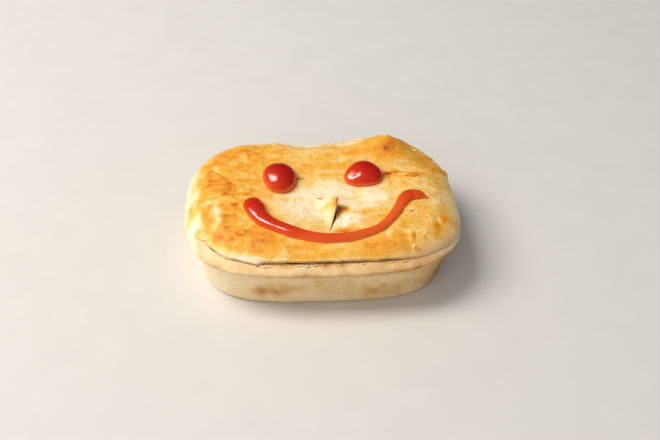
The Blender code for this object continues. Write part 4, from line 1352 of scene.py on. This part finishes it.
fine = smooth_curve(SMILE, np.linspace(0, len(SMILE) - 1, 2000))
run = np.concatenate(([0], np.cumsum(np.linalg.norm(np.diff(fine, axis=0), axis=1))))
start_round, end_round = SMILE_SIZES[0, 1], SMILE_SIZES[-1, 1]
cap = np.radians(np.linspace(6, 90, 14, endpoint=False))
distance = np.concatenate((
    start_round * (1 - np.cos(cap)),
    np.linspace(start_round, run[-1] - end_round, SMILE_STATIONS),
    run[-1] - end_round * (1 - np.cos(cap[::-1])),
))
line = np.column_stack([np.interp(distance, run, fine[:, axis]) for axis in (0, 1)])
heading = unit(np.gradient(line, axis=0))
share = distance / run[-1]
to_end = np.maximum(1 - distance / start_round, 1 - (run[-1] - distance) / end_round)
roundness = np.sqrt(1 - np.clip(to_end, 0, 1) ** 2)
wobble = 1 + 0.05 * dough_noise(np.column_stack((distance, distance * 0, distance * 0)), 0.006, 151)
half_width = eased(share, SMILE_SIZES, 1) * roundness * wobble
height = eased(share, SMILE_SIZES, 2) * roundness
turn = np.linspace(0, math.tau, SMILE_STEPS_ROUND, endpoint=False)
left = np.column_stack((-heading[:, 1], heading[:, 0]))
place = line[:, None] + left[:, None] * (half_width[:, None] * np.cos(turn))[..., None]
up = np.sin(turn)
over = height[:, None] * np.abs(up) ** SMILE_FULLNESS
rise = np.where(up > 0, over, -SAUCE_SINK * np.minimum(1, np.abs(up) * 3))
x, y = np.moveaxis(place, -1, 0)
bead = np.dstack((x, y, lid_form(x, y) + rise))
thinness = eased(share, SMILE_SIZES, 3)[:, None] + 0.30 * (1 - np.clip(up, 0, 1)) ** 1.5
ends = [(*point, float(lid_form(*point))) for point in (fine[0], fine[-1])]
smile = closed_mesh("smile_bead", bead, *ends, thinness=thinness)
dress_sauce(smile, "sauce_smile")
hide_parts("sauce_smile")

# The table, the light and the camera. A plain pale table top, a large soft lamp high on the left, a weak
# fill at the front left, and the camera as it stood for the photograph: 43 degrees above the table and a
# touch to the left.
TABLE_HALF = 4.0
corners = TABLE_HALF * np.array(((-1, -1, 0), (1, -1, 0), (1, 1, 0), (-1, 1, 0)))
floor = new_piece("table_top", corners, [(0, 1, 2, 3)])
table = Recipe("pale_table")
grain = table.noise(table.place(), 0.02, 3.0) + 0.5
table.finish(Base_Color=table.ramp(grain, ((0.3, (216, 213, 208)), (0.7, (219, 216, 211)))), Roughness=0.7)
floor.data.materials.append(table.material)
floor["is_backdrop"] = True


def lamp(name, azimuth, elevation, distance, size, power, tint, mirrored=True):
    """A soft oblong lamp aimed at the pie. It stands at its distance in the direction of its two angles:
    anticlockwise from the front, seen from above, and up from the table. Gloss reflects it only where it is
    mirrored."""
    light = bpy.data.lights.new(name, "AREA")
    light.shape = "RECTANGLE"
    light.size, light.size_y = size
    light.energy = power
    light.color = tint
    piece = bpy.data.objects.new(name, light)
    bpy.context.scene.collection.objects.link(piece)
    out = math.cos(elevation)
    direction = np.array((math.sin(azimuth) * out, -math.cos(azimuth) * out, math.sin(elevation)))
    piece.location = direction * distance
    piece.rotation_euler = (math.pi / 2 - elevation, 0, azimuth)
    piece.visible_glossy = mirrored


lamp("key", math.radians(-96), math.radians(55), 1.40, (0.50, 0.98), 18.4, (1.0, 0.965, 0.91))
lamp("fill", math.radians(-35), math.radians(24), 1.30, (1.1, 1.1), 5.0, (1.0, 0.95, 0.89), mirrored=False)

world = bpy.data.worlds.new("studio")
world.use_nodes = True
world.node_tree.nodes["Background"].inputs["Color"].default_value = paint(236, 238, 242)
world.node_tree.nodes["Background"].inputs["Strength"].default_value = 0.37
world.cycles_visibility.glossy = False
bpy.context.scene.world = world

CAMERA_AZIMUTH = math.radians(-2.12)
CAMERA_ELEVATION = math.radians(43.2)
CAMERA_DISTANCE = 0.600
AIM_RIGHT = 0.0045
AIM_UP = 0.0115
LENS = 62.5
camera_data = bpy.data.cameras.new("camera")
camera_data.lens = LENS
camera_data.sensor_width = 36.0
camera = bpy.data.objects.new("camera", camera_data)
bpy.context.scene.collection.objects.link(camera)
out = math.cos(CAMERA_ELEVATION)
towards = np.array((
    math.sin(CAMERA_AZIMUTH) * out,
    -math.cos(CAMERA_AZIMUTH) * out,
    math.sin(CAMERA_ELEVATION),
))
rightwards = np.array((math.cos(CAMERA_AZIMUTH), math.sin(CAMERA_AZIMUTH), 0.0))
upwards = np.cross(towards, rightwards)
camera.location = towards * CAMERA_DISTANCE + rightwards * AIM_RIGHT + upwards * AIM_UP
camera.rotation_euler = (math.pi / 2 - CAMERA_ELEVATION, 0, CAMERA_AZIMUTH)
bpy.context.scene.camera = camera
bpy.context.scene.view_settings.view_transform = "Standard"
bpy.context.scene.view_settings.exposure = 0.0

new_low, new_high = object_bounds()
sizes = {"cad": [list(cad_low), list(cad_high)], "visual": [list(new_low), list(new_high)]}
